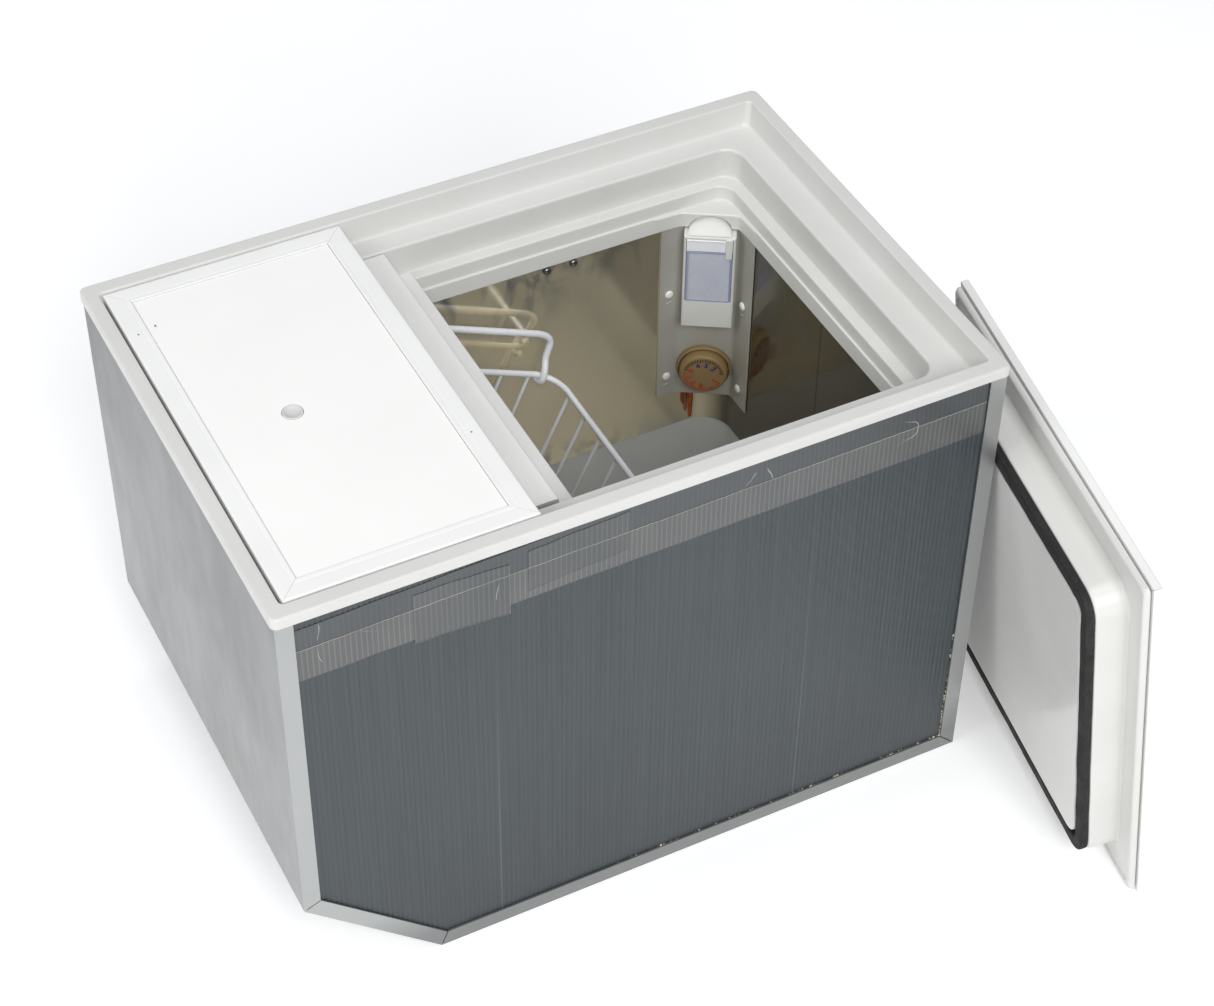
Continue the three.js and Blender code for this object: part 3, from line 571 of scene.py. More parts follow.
def add_studio():
    scene = bpy.context.scene
    scene.view_settings.view_transform = "Standard"
    world = bpy.data.worlds.new("studio")
    world.use_nodes = True
    sky = world.node_tree.nodes["Background"]
    sky.inputs["Color"].default_value = (0.93, 0.95, 1.0, 1)
    sky.inputs["Strength"].default_value = 0.36
    scene.world = world
    middle = (0, 0, 0.2)
    add_softbox("top_softbox", (0.1, -0.3, 4.2), middle, (2.4, 2.4), 38)
    add_softbox("camera_softbox", (-0.7, -3.4, 3.0), middle, (2.0, 2.0), 122)
    add_softbox("left_softbox", (-3.2, 0.2, 2.6), middle, (2.0, 1.6), 42)
    floor_paint = Paint("studio_floor", Roughness=0.85, Emission_Color=(1, 1, 1, 1), Emission_Strength=0.2)
    floor_paint.colour(floor_paint.cloud(3), "fbfbfb", "f9f9f9")
    mesh = bpy.data.meshes.new("floor")
    far = 9
    mesh.from_pydata([(-far, -far, 0), (far, -far, 0), (far, far, 0), (-far, far, 0)], [], [(0, 1, 2, 3)])
    mesh.materials.append(floor_paint.material)
    floor = bpy.data.objects.new("floor", mesh)
    floor.location.z = -0.0005
    scene.collection.objects.link(floor)


add_camera()
add_studio()


# ---- cabinet
def chamfer_height(x, inset):
    """Height of the cabinet's chamfer, moved inward by inset, above a point x."""
    return SLOPE * (CHAMFER_END - x) + inset * hypot(1, SLOPE)


def fluted_sheet(face, back):
    """A closed sheet with a fine groove over each rib, trimmed along the chamfer."""
    inset = PANEL_LOW.z
    groove = 0.28 if back > face else -0.28
    loops = []
    for k in range(FLUTES):
        for share in (0, 0.1, 0.3, 0.5, 0.7, 0.9):
            x = PANEL_LOW.x + (k + share) * FLUTE_PITCH
            dip = groove * exp(-((min(share, 1 - share) / 0.12) ** 2))
            low = max(inset, chamfer_height(x, inset))
            high, front = PANEL_HIGH.z, face + dip
            loops.append([(x, front, low), (x, front, high), (x, back, high), (x, back, low)])
    return skin(loops)


FACE_Y = PANEL_LOW.y
make("front_fluted_sheet", fluted_sheet(FACE_Y, FACE_Y + 4), "fluted_sheet", ["front_panel"], sharp=60)
make("back_fluted_sheet", fluted_sheet(-FACE_Y, -FACE_Y - 4), "fluted_sheet", ["back_panel"], sharp=60)

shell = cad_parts["cabinet_shell"]
round_edges(shell, 0.35)


FILM = 0.06


def wander(x, y):
    """How a cut edge of the tape strays from its line, from -1 to 1."""
    return noise.noise(Vector((x * 0.05, y, 1.7)))


def tape(left, right, low, high, y, waviness=0.5):
    """A thin film over the flutes between two heights, each given as a function of x."""
    loops = []
    steps = round((right - left) / (FLUTE_PITCH / 4))
    for k in range(steps + 1):
        x = left + (right - left) * k / steps
        ripple = 0.05 * cos(2 * pi * (x - PANEL_LOW.x) / FLUTE_PITCH)
        stray = waviness * wander(x, y)
        bottom, top = low(x) + stray, high(x) + stray
        front, back = y - ripple, y - ripple + FILM
        loops.append([(x, front, bottom), (x, front, top), (x, back, top), (x, back, bottom)])
    return skin(loops)


def line(x0, z0, x1, z1):
    return lambda x: z0 + (z1 - z0) * (x - x0) / (x1 - x0)


TAPE_LEFT, TAPE_RIGHT = -HALF_X + FLANGE + 0.6, HALF_X - FLANGE - 0.6
TAPE_FOOT = line(TAPE_LEFT, 332, TAPE_RIGHT, 339)
TAPE_CREASE = line(TAPE_LEFT, 360, TAPE_RIGHT, 368)
TAPE_BARE = 9.5  # how far short of the rim the tape stops at its left end
BAND_Y, PATCH_Y = FACE_Y - 0.3, FACE_Y - 0.5
LOOSE_FILM = clear_tape("tape_film_loose", 0.27, 0.16)
STUCK_FILM = clear_tape("tape_film_stuck", 0.1, 0.04)
PATCH_FILM = clear_tape("tape_film_patch", 0.19, 0.1)
CREASE_FILM = clear_tape("tape_film_crease", 0.9, 0.3, "b3afa7")
EDGE_FILM = clear_tape("tape_film_edge", 0.6, 0.25, "98948d")


def tape_top(x):
    """The strip was laid slightly askew, so a wedge of bare panel shows at the left."""
    return min(SEAT - 0.8, line(TAPE_LEFT, SEAT - TAPE_BARE, 20, SEAT - 0.8)(x))


def crease():
    """The sharp ragged fold between the film's stuck and loose halves."""
    count = 300
    points = []
    for k in range(count + 1):
        x = TAPE_LEFT + (TAPE_RIGHT - TAPE_LEFT) * k / count
        jag = wander(x, BAND_Y) * 0.5 + 0.55 * noise.noise(Vector((x * 0.9, 4.2, 0)))
        points.append((x, BAND_Y - 0.12, TAPE_CREASE(x) + jag))
    return tube(points, 0.26, 5)


make("tape_loose_band", tape(TAPE_LEFT, TAPE_RIGHT, TAPE_FOOT, TAPE_CREASE, BAND_Y), "lens", finish=LOOSE_FILM)
make("tape_stuck_band", tape(TAPE_LEFT, TAPE_RIGHT, TAPE_CREASE, tape_top, BAND_Y), "lens", finish=STUCK_FILM)
make("tape_crease", crease(), "lens", finish=CREASE_FILM)


def patch_rim(left, right, low, high, y, waviness):
    """The raised cut edge all round a short piece of tape."""
    across = [left + (right - left) * k / 40 for k in range(41)]
    lower, upper = ([(x, y - 0.1, edge(x) + waviness * wander(x, y)) for x in across] for edge in (low, high))
    return tube(lower + upper[::-1], 0.14, 5, closed=True)


# each patch: its two ends, and the heights of its foot and its head at them
for place, left, right, feet, heads in (("left", -179, -110, (330, 326), (375, 372)),
                                        ("middle", -96, -21, (341, 348), (378, 383))):
    edges = [line(left, at_left, right, at_right) for at_left, at_right in (feet, heads)]
    shape = (left, right, *edges, PATCH_Y, 1.5)
    make(f"tape_patch_{place}", tape(*shape), "lens", finish=PATCH_FILM)
    make(f"tape_patch_rim_{place}", patch_rim(*shape), "lens", finish=EDGE_FILM, sharp=60)


def foam_crumbs():
    """Bits of white foam that the panel's cut edge has picked up beside the lower right flanges."""
    chance = random.Random(7)
    edge_x, edge_z = HALF_X - FLANGE, FLANGE
    crumbs, upward, leftward = 150, 120, 290
    parts = []
    for _ in range(crumbs):
        along = chance.random() ** 1.4
        if chance.random() < 0.45:
            at = (edge_x - chance.random(), FACE_Y - 0.3, edge_z + along * upward)
        else:
            at = (edge_x - along * leftward, FACE_Y - 0.3, edge_z + chance.random() * 0.9)
        size = 0.22 + 0.5 * chance.random() ** 2
        blob = turned([(0, -0.6), (0.8, -0.35), (1, 0), (0.7, 0.45), (0, 0.6)], 7)
        verts = [Vector(v) * (1 + 0.4 * noise.noise(Vector(v) * 2 + Vector(at))) for v in blob[0]]
        stretch = Matrix.Diagonal((size, size * 0.6, size * (1 + chance.random()), 1))
        parts.append(moved((verts, blob[1]), Matrix.Translation(at) @ stretch))
    return merged(*parts)


make("panel_edge_crumbs", foam_crumbs(), "foam", sharp=60)


# ---- top moulding
def rim_moulding():
    def at(step, corner, fillet, grow=0, drop=0):
        return step[0] + grow, step[1] + grow, corner, step[2] - drop, fillet

    thick = 3
    outside = [(RIM_X, RIM_Y, 5, SEAT + GAP, 0.4), (RIM_X, RIM_Y, 5, RIM_TOP, 2.6)]
    inside = [at(WALL_TOP, 4, 1.6), at(LEDGE_1_OUT, 5, 3), at(LEDGE_1_IN, 15, 2.6), at(LEDGE_2_OUT, 14, 1.6),
              at(LEDGE_2_IN, 14, 1.6), at(LEDGE_3_OUT, 13, 0.8), at(LEDGE_3_IN, 12, 1), at(LIP, 12, 0.8)]
    hidden = [at(LIP, 13, 0.4, thick), at(LEDGE_3_IN, 14, 0, 4.5, thick), at(LEDGE_2_IN, 15, 0, thick, thick),
              at(LEDGE_2_OUT, 15, 0, thick, thick), at(LEDGE_1_IN, 16, 0, thick, thick),
              at(LEDGE_1_OUT, 9, 0, thick, thick), (WALL_TOP[0] + thick, WALL_TOP[1] + thick, 8, SEAT + GAP, 0)]
    return stepped(outside + inside + hidden, ring=True)


make("rim_moulding", rim_moulding(), "moulding", ["top_frame"], sharp=50)


def bracket_frame():
    """X runs along the bracket's middle plate, Y points back into the corner."""
    along = Vector((BRACKET_WALL_X - FOLD_LEFT_X, FOLD_RIGHT_Y - BRACKET_WALL_Y, 0)).normalized()
    behind = Vector((-along.y, along.x, 0))
    turn = Matrix((along, behind, (0, 0, 1))).transposed().to_4x4()
    return Matrix.Translation((FOLD_LEFT_X, BRACKET_WALL_Y, 0)) @ turn


BRACKET = bracket_frame()
BRACKET_WIDE = hypot(BRACKET_WALL_X - FOLD_LEFT_X, BRACKET_WALL_Y - FOLD_RIGHT_Y)
ARCH_WIDE, ARCH_HIGH = 16.5, 11


def arch(wide, high, foot, steps=24):
    """Points of a half ellipse over the lamp, from left to right, in the bracket's X and Z."""
    turns = [pi - pi * i / steps for i in range(steps + 1)]
    return [(DIAL_ALONG + wide * cos(a), foot + high * sin(a)) for a in turns]


def evenly(points, count):
    """The polyline again, as count + 1 points at equal steps along it."""
    points = [Vector(p) for p in points]
    lengths = [0]
    for start, end in zip(points, points[1:]):
        lengths.append(lengths[-1] + (end - start).length)
    result = []
    place = 0
    for k in range(count + 1):
        target = lengths[-1] * k / count
        while place < len(points) - 2 and lengths[place + 1] < target:
            place += 1
        share = (target - lengths[place]) / (lengths[place + 1] - lengths[place])
        result.append(points[place].lerp(points[place + 1], share))
    return result


def lamp_canopy():
    """The moulding's lowest step bulges smoothly over the bracket, and is arched over the lamp."""
    low, high = LIP[2] + 0.2, LEDGE_3_IN[2] - 0.4
    proud, steps = 3.4, 140
    lip_x, lip_y = LIP[:2]
    left_fold = BRACKET @ Vector((0.5, -proud, 0))
    right_fold = BRACKET @ Vector((BRACKET_WIDE - 0.5, -proud, 0))
    start, end = left_fold.x - 24, right_fold.y - 24
    corners = [(start, lip_y + 0.2), (left_fold.x - 3, lip_y - 0.6), left_fold.xy, right_fold.xy,
               (lip_x - 0.6, right_fold.y - 4), (lip_x + 0.2, end)]
    front = evenly(rounded(corners, [0, 9, 12, 12, 9, 0], 8), steps)
    corners = [(start, lip_y + 2), (lip_x - 6, lip_y + 2), (lip_x + 2, lip_y - 6), (lip_x + 2, end)]
    behind = evenly(corners, steps)
    into_bracket = BRACKET.inverted()
    loops = []
    for near, far in zip(front, behind):
        across = (into_bracket @ near.to_3d()).x - DIAL_ALONG
        foot = low + ARCH_HIGH * max(0, 1 - (across / ARCH_WIDE) ** 2) ** 0.5
        section = [(*near, foot), (*near, high), (*far, high), (*far, foot)]
        loops.append(rounded(section, [0.7, 1.6, 0, 0], 3, ring=True))
    return skin(loops)


make("lamp_canopy", lamp_canopy(), "moulding", sharp=50)


# ---- liner and cold plate
def liner_station(z, grow, fillet, inset=0):
    """The liner's plan at a height, cut short by the chamfer at its left."""
    right, half_y = LINER_HIGH.x - LINER_WALL + grow, LINER_HIGH.y - LINER_WALL + grow
    left = max(-right, CHAMFER_END + ((LINER_OFFSET - grow) * hypot(1, SLOPE) - z) / SLOPE)
    half_x, corner = (right - left) / 2, 26 + grow - inset * 0.6
    return half_x - inset, half_y - inset, corner, z, fillet, (right + left) / 2


def liner_tub():
    floor = LINER_LOW.z + LINER_WALL
    knee = SLOPE * (CHAMFER_END + LINER_HIGH.x - LINER_WALL) + LINER_OFFSET * hypot(1, SLOPE)
    top = LINER_HIGH.z
    return stepped([
        liner_station(floor - LINER_WALL, LINER_WALL, 0, 10),
        liner_station(floor - LINER_WALL, LINER_WALL, 8),
        liner_station(knee, LINER_WALL, 6),
        liner_station(top, LINER_WALL, 0.5),
        liner_station(top, 0, 0.5),
        liner_station(knee, 0, 6),
        liner_station(floor, 0, 7),
        liner_station(floor, 0, 0, 12),
    ], arc=6)


make("liner_tub", liner_tub(), "liner", ["inner_liner"], sharp=50)


def cold_plate_sleeve():
    outer = (PLATE_HIGH.x, PLATE_HIGH.y, PLATE_CORNER + SHEET)
    inner = (RIGHT_WALL, BACK_WALL, PLATE_CORNER)
    low, high = PLATE_LOW.z, PLATE_HIGH.z
    stations = [(*outer, low, 0.5), (*outer, high, 0), (*inner, high, 0), (*inner, low, 0.5)]
    return stepped(stations, ring=True, steps=20)


make("cold_plate_sleeve", cold_plate_sleeve(), "evaporator", ["evaporator_plate"], sharp=50)


def cross_recess(radius, angle):
    """Depth of a cross slot in a screw's head."""
    u, v = abs(radius * cos(angle)), abs(radius * sin(angle))
    reach = max(u, v)
    width = min(u, v)
    return -1.1 * max(0, 1 - (width / 0.55) ** 4) if reach < 1.9 and width < 0.55 else 0


def screw_head():
    profile = [(3.4, 0), (3.4, 0.7), (3.1, 1.3), (2.6, 1.75)]
    profile += [(2.4 - 0.2 * k, 1.9 + 0.045 * k) for k in range(12)] + [(0, 2.4)]
    return turned(profile, 64, cross_recess)


for side in ("left", "right"):
    node = f"evaporator_screw_{side}"
    centre = centre_of(node)
    seat = facing((centre.x, BACK_WALL - GAP, centre.z), (0, -1, 0))
    make(f"cross_screw_{side}", moved(screw_head(), seat), "screw", [node], sharp=40)


# ---- corner bracket
def folded_strip(path, thick, low, high):
    """A strip of sheet stood on edge along a plan path."""
    loops = []
    count = len(path)
    for k, point in enumerate(path):
        before, after = Vector(path[max(k - 1, 0)]), Vector(path[min(k + 1, count - 1)])
        along = (after - before).normalized()
        aside = Vector((-along.y, along.x)) * thick / 2
        near, far = Vector(point) - aside, Vector(point) + aside
        loops.append([(*near, low), (*near, high), (*far, high), (*far, low)])
    return skin(loops)


def bracket_sheet():
    low, high = extent("corner_bracket")
    half = BRACKET_THICK / 2
    wall_y, wall_x = high.y - half, high.x - half
    corners = [(low.x, wall_y), (FOLD_LEFT_X + 0.2, wall_y), (wall_x, FOLD_RIGHT_Y + 0.3), (wall_x, low.y)]
    path = rounded(corners, [0, 3, 3, 0], 6)
    return folded_strip(path, BRACKET_THICK, low.z, high.z)


make("bracket_sheet", bracket_sheet(), "bracket", ["corner_bracket"], bevel=0.3)


def rivet_head():
    profile = rounded([(2, -1), (2, 0), (3.6, 0), (3.6, 0.7), (2.6, 1.75), (0, 1.9)], [0, 0, 0.2, 0.5, 1.2, 0], 4)
    return turned(profile, 28)


RIVET_SEAT = BRACKET_THICK + 2 * GAP
# the lance is a pressed pip below each rivet
LANCE = moved(turned([(1.1, 0), (1.1, 0.2), (0.8, 0.45), (0, 0.5)], 14), Matrix.Diagonal((2.6, 0.8, 1.6, 1)))
LANCE_PLACE = Matrix.Translation((0, -8.5, 0.2)) @ Matrix.Rotation(radians(12), 4, "Z")
for side in ("left", "right"):
    for level in ("upper", "lower"):
        node = f"bracket_rivet_{side}_{level}"
        centre = centre_of(node)
        if side == "left":
            seat = facing((centre.x, BACK_WALL - RIVET_SEAT, centre.z), (0, -1, 0))
        else:
            seat = facing((RIGHT_WALL - RIVET_SEAT, centre.y, centre.z), (-1, 0, 0))
        make(f"nylon_rivet_{side}_{level}", moved(rivet_head(), seat), "rivet", [node])
        make(f"lance_{side}_{level}", moved(LANCE, seat @ LANCE_PLACE), "bracket")


# ---- thermostat
DIAL = BRACKET @ Matrix.Translation((DIAL_ALONG, 0, DIAL_Z)) @ facing((0, 0, 0), (0, -1, 0))
FACE_RADIUS, FACE_HEIGHT, DIGIT_RADIUS = 17.2, 12.2, 10.6


def bezel():
    profile = rounded([(20.6, 0.3), (22.4, 0.3), (22.4, 3.4), (21.6, 4.6), (20.6, 4.6)],
                      [0, 0, 0.8, 0.8, 0.4], 4, ring=True)
    return moved(skin([circle(r, z, 96) for r, z in profile], ring=True), DIAL)


def face_height(radius):
    return FACE_HEIGHT + 0.5 * (1 - (radius / FACE_RADIUS) ** 2)


def knob():
    """A cup with a finely ribbed side and a slightly domed face, on a short spindle."""
    ribs = 72
    sides = ribs * 4
    profile = [(3, -1.4), (3, 1), (18.9, 1), (19.6, 1.6), (19.8, 5), (19.5, 9.6), (18.9, 11.2), (18, 12),
               (FACE_RADIUS, FACE_HEIGHT), (12, face_height(12)), (6, face_height(6)), (0, face_height(0))]
    profile = rounded(profile, [0, 0, 0.3, 0.6, 1, 1.5, 1, 0.8, 1, 2, 2, 0], 3)
    loops = []
    for radius, z in profile:
        ribbed = 0.16 if 2 < z < 10 and radius > 19 else 0
        loop = []
        for i in range(sides):
            reach = radius - ribbed * (0.5 + 0.5 * cos(2 * pi * i / 4))
            turn = 2 * pi * i / sides
            loop.append((reach * cos(turn), reach * sin(turn), z))
        loops.append(loop)
    return moved(skin(loops), DIAL)


make("dial_bezel", bezel(), "dial", ["thermostat_bezel"])
make("dial_knob", knob(), "dial", ["thermostat_knob"], body="thermostat_knob", sharp=40)


def dial_ticks(first, last, count, every):
    """Short radial bars; each one that is a multiple of every is longer."""
    outer, half_wide = 16.6, 0.42
    parts = []
    for k in range(count + 1):
        angle = radians(first + (last - first) * k / count)
        inner = 13.3 if k % every == 0 else 14.2
        spoke = Matrix.Rotation(angle, 4, "Z")
        low = (inner, -half_wide, face_height(outer) - 0.2)
        high = (outer, half_wide, face_height(inner) + 0.12)
        parts.append(moved(block(low, high), DIAL @ spoke))
    return merged(*parts)


def digit(text, angle, name, ink):
    """One raised numeral on the dial's face, its foot towards the centre."""
    curve = bpy.data.curves.new(name, "FONT")
    curve.body = text
    curve.size = 6.2
    curve.offset = 0.26
    curve.extrude = 0.18
    curve.align_x = "CENTER"
    curve.align_y = "CENTER"
    written = bpy.data.objects.new(name + "_text", curve)
    bpy.context.scene.collection.objects.link(written)
    depsgraph = bpy.context.evaluated_depsgraph_get()
    drawn = bpy.data.meshes.new_from_object(written.evaluated_get(depsgraph))
    bpy.data.objects.remove(written)
    turn = Matrix.Rotation(radians(angle - 90), 4, "Z")
    seat = DIAL @ turn @ Matrix.Translation((0, DIGIT_RADIUS, face_height(DIGIT_RADIUS)))
    verts = [seat @ v.co for v in drawn.vertices]
    faces = [tuple(p.vertices) for p in drawn.polygons]
    bpy.data.meshes.remove(drawn)
    make(name, (verts, faces), "dial", body="thermostat_knob", finish=ink, sharp=30)


make("dial_ticks_cold", dial_ticks(10, 160, 20, 4), "dial", body="thermostat_knob", finish=BLACK_INK)
make("dial_ticks_warm", dial_ticks(175, 330, 20, 4), "dial", body="thermostat_knob", finish=RED_INK)
for text, angle in (("4", 115), ("3", 78), ("2", 42)):
    digit(text, angle, f"dial_number_cold_{text}", BLUE_INK)
for text, angle in (("5", 158), ("6", 192), ("7", 226), ("8", 262), ("1", 330)):
    digit(text, angle, f"dial_number_warm_{text}", RED_INK)


# ---- lamp
LAMP_LEFT, LAMP_RIGHT, LAMP_LOW, LAMP_HIGH, LAMP_DEEP = 2.4, 43.2, 236, 327.5, 13


LENS_LEFT, LENS_RIGHT, LENS_LOW, LENS_HIGH = LAMP_LEFT + 2.5, LAMP_RIGHT - 2.5, LAMP_LOW + 27.3, LAMP_HIGH - 15
BORDER_WIDE = 1.5
BORDER_LEFT, BORDER_RIGHT = LENS_LEFT + BORDER_WIDE, LENS_RIGHT - BORDER_WIDE
BAR_HIGH = LAMP_HIGH - 3.3


def lamp_case():
    """A shallow case with a pocket behind the lens."""
    walls = []
    for y, aside, lift, drop in ((-0.3, 0, 0, 0), (-LAMP_DEEP + 1.2, 0, 0, 0), (-LAMP_DEEP, 1.2, 1.2, 1.2),
                                 (-LAMP_DEEP, 2.2, 27, 3), (-2.4, 2.2, 27, 3)):
        left, right, low, high = LAMP_LEFT + aside, LAMP_RIGHT - aside, LAMP_LOW + lift, LAMP_HIGH - drop
        walls.append([(left, y, low), (right, y, low), (right, y, high), (left, y, high)])
    return moved(skin(walls), BRACKET)


def lamp_cover():
    """The lens, bowed slightly outward and eased along its upper and lower edges."""
    loops = []
    for k in range(9):
        x = LENS_LEFT + (LENS_RIGHT - LENS_LEFT) * k / 8
        bow = 0.5 * (1 - (2 * k / 8 - 1) ** 2)
        front = -LAMP_DEEP + 0.5 - bow
        section = [(1.6, LENS_LOW), (0.3, LENS_LOW), (0, LENS_LOW + 1), (0, LENS_HIGH - 1), (0.3, LENS_HIGH),
                   (1.6, LENS_HIGH)]
        loops.append([(x, front + back, z) for back, z in section])
    return moved(skin(loops), BRACKET)


def on_lamp(*blocks):
    """Blocks by two opposite corners, with Y counted from the lamp's front."""
    parts = [block((x0, -LAMP_DEEP + y0, z0), (x1, -LAMP_DEEP + y1, z1)) for (x0, y0, z0), (x1, y1, z1) in blocks]
    return moved(merged(*parts), BRACKET)


make("lamp_case", lamp_case(), "white_plastic", ["lamp_housing"], bevel=0.5, segments=3)
make("lamp_cover", lamp_cover(), "lens", ["lamp_lens"], sharp=40)
# the border looks bluer than the lens's frosted middle
border = on_lamp(((LENS_LEFT, -0.2, LENS_LOW), (BORDER_LEFT, 0.8, LENS_HIGH)),
                 ((BORDER_RIGHT, -0.2, LENS_LOW), (LENS_RIGHT, 0.8, LENS_HIGH)),
                 ((BORDER_LEFT, -0.2, LENS_LOW), (BORDER_RIGHT, 0.8, LENS_LOW + BORDER_WIDE)),
                 ((BORDER_LEFT, -0.2, LENS_HIGH - BORDER_WIDE), (BORDER_RIGHT, 0.8, LENS_HIGH)))
make("lamp_cover_border", border, "lens", finish=LENS_BORDER, bevel=0.3)
top_bar = on_lamp(((LENS_LEFT, 0.2, BAR_HIGH - 11.4), (LENS_RIGHT, 2, BAR_HIGH)),
                  ((LENS_LEFT, -0.4, BAR_HIGH - 1.4), (LENS_RIGHT, 0.4, BAR_HIGH - 0.2)))
make("lamp_top_bar", top_bar, "lens", finish=CLEAR, bevel=0.3)
latch = on_lamp(((LENS_RIGHT - 5.4, -1.1, BAR_HIGH - 17), (LENS_RIGHT - 0.4, 0.6, BAR_HIGH + 1.8)))
make("lamp_latch", latch, "white_plastic", bevel=0.5, segments=3)


def festoon_bulb():
    low, high = extent("lamp_bulb")
    half = (high.z - low.z) / 2
    profile = rounded([(0, -half), (3.4, -half), (3.4, -half + 6), (4, -half + 8), (4, half - 8), (3.4, half - 6),
                       (3.4, half), (0, half)], [0, 1, 1, 1, 1, 1, 1, 0], 4)
    return moved(turned(profile, 24), Matrix.Translation(centre_of("lamp_bulb")))


make("festoon_bulb", festoon_bulb(), "bulb", ["lamp_bulb"])


def lamp_hood():
    """The case's domed top, which rises from its front edge back into the canopy's arch."""
    foot, rise = LAMP_HIGH + GAP, ARCH_HIGH + 1
    front, back = -LAMP_DEEP + 0.6, 2.2
    loops = []
    for k in range(13):
        share = k / 12
        crest = arch(ARCH_WIDE + 1.6 * (1 - share) - 0.3, max(0.35, rise * share ** 1.2), foot)
        loops.append([(x, front + (back - front) * share, z) for x, z in crest])
    return moved(skin(loops), BRACKET)


make("lamp_hood", lamp_hood(), "white_plastic", sharp=50)


# ---- sensor tubes
def pinched_tube(node, lean, bore):
    """A copper tube that narrows to a crimped tip at its lower end."""
    low, high = extent(node)
    x, y = (low.x + high.x) / 2, (low.y + high.y) / 2
    stations = [(0, bore), (0.12, bore), (0.42, bore), (0.56, bore), (0.62, bore * 0.82), (0.9, bore * 0.78),
                (0.96, bore * 0.6), (1, bore * 0.25)]
    loops = []
    for share, radius in stations:
        loops.append(circle(radius, high.z - share * (high.z - low.z), 16, x + lean * share, y))
    return skin(loops)


make("sensor_bulb_tube", pinched_tube("sensor_phial", 0.3, 2.4), "copper", ["sensor_phial"], sharp=60)
make("capillary_stub", pinched_tube("capillary_tube", 0.2, 1.25), "copper", ["capillary_tube"], sharp=60)


# ---- inlets at the back
COVER_LOW, COVER_HIGH = extent("service_plate")


def service_cover():
    left, right, foot, head = COVER_LOW.x, COVER_HIGH.x, COVER_LOW.z, COVER_HIGH.z
    outline = rounded([(left, foot), (right, foot), (right, head), (left, head)], [4] * 4, 5, ring=True)
    upright = Matrix(((1, 0, 0, 0), (0, 0, 1, 0), (0, 1, 0, 0), (0, 0, 0, 1)))
    return moved(prism(outline, COVER_LOW.y, COVER_HIGH.y), upright)


make("service_cover", service_cover(), "sheet_metal", ["service_plate"], bevel=0.4)
for place, (x, z) in enumerate(((6, 6), (84, 6), (84, 54), (6, 54))):
    seat = facing((COVER_LOW.x + x, COVER_HIGH.y, COVER_LOW.z + z), (0, 1, 0))
    make(f"cover_screw_{place + 1}", moved(screw_head(), seat), "screw", sharp=40)


def coupling(node, thread):
    """A hexagon with chamfered corners, a ridged neck and a capped mouth."""
    low, high = extent(node)
    length = high.y - low.y
    across = (high.x - low.x) / 2 if node == "cable_gland" else (high.z - low.z) / 2
    hexagon = skin([circle(across * share, z, 6) for z, share in ((1.5, 0.93), (2.1, 1), (7.9, 1), (8.5, 0.93))])
    neck = [(0, 0), (thread, 0), (thread, 9)]
    z = 9.2
    while z < length - 2:
        neck += [(thread - 0.5, z + 0.3), (thread, z + 0.65)]
        z += 1.0
    neck += [(thread - 0.4, length - 0.9), (thread - 1.2, length), (thread - 2.6, length),
             (thread - 2.9, length - 1.6), (0, length - 1.8)]
    seat = facing(((low.x + high.x) / 2, low.y, (low.z + high.z) / 2), (0, 1, 0))
    return merged(moved(hexagon, seat), moved(turned(neck, 40), seat))


for node, thread, slot in (("suction_coupling", 8, "brass"), ("liquid_coupling", 6.5, "brass"),
                           ("cable_gland", 5.5, "black_rubber")):
    make(node.replace("_", "_end_"), coupling(node, thread), slot, [node], sharp=30)


# ---- divider rail
def divider():
    low, high = extent("divider_rail")
    centre = (low.x + high.x) / 2
    web, foot = 24, (high.x - low.x) / 2
    foot_top = LEDGE_2_IN[2] + GAP
    corners = [(-foot, low.z), (foot, low.z), (foot, foot_top), (web, foot_top), (web, high.z), (-web, high.z),
               (-web, foot_top), (-foot, foot_top)]
    section = rounded(corners, [0.6, 0.6, 1.6, 2.2, 1.8, 1.8, 2.2, 1.6], 4, ring=True)
    foot_y = LEDGE_2_IN[1] - 1.4
    ease = 0.4
    full, eased = (1, high.y - ease), (1 - ease / 60, high.y)
    loops = []
    for side, (scale, end) in ((-1, eased), (-1, full), (1, full), (1, eased)):
        loops.append([(centre + x * scale, side * (end if z > foot_top - 0.01 else min(end, foot_y)), z)
                      for x, z in section])
    return skin(loops)


# the divider wears a lighter copy of the moulding's white, as painted light
make("divider_moulding", divider(), "moulding", ["divider_rail"], finish=LIT_DIVIDER_WHITE, sharp=40)


# ---- lids
def right_lid_frame():
    """The loose lid stands on a short end, seal side towards the box."""
    yaw, lean = STANDING_YAW, STANDING_LEAN
    along = Vector((sin(yaw), cos(yaw), 0))
    to_box = Vector((-cos(yaw), sin(yaw), 0))
    up = Vector((0, 0, cos(lean))) + to_box * sin(lean)
    outward = (-up).cross(along)
    centre = Vector((*STANDING_CORNER, LID_PLATE * sin(lean))) + up * RIGHT_HALF_X + along * LID_HALF_Y
    return Matrix.Translation(centre) @ Matrix((-up, along, outward)).transposed().to_4x4()


def trim_bar(run, across):
    """One mitred border strip: rounded outside, a fine groove and a soft step inside."""
    profile = rounded([(0, -LID_PLATE), (0, 0), (LID_RAIL, 0), (LID_RAIL, -1.4), (LID_RAIL - 1.5, -LID_PLATE)],
                      [0, 1.6, 0.7, 0, 0], 4)
    place = next(i for i, point in enumerate(profile) if point[0] > 12.4)
    profile[place:place] = [(11.6, 0), (12, -0.25), (12.4, 0)]
    return skin([[(end * (run - d - GAP / 2), -across + d, z) for d, z in profile] for end in (-1, 1)])


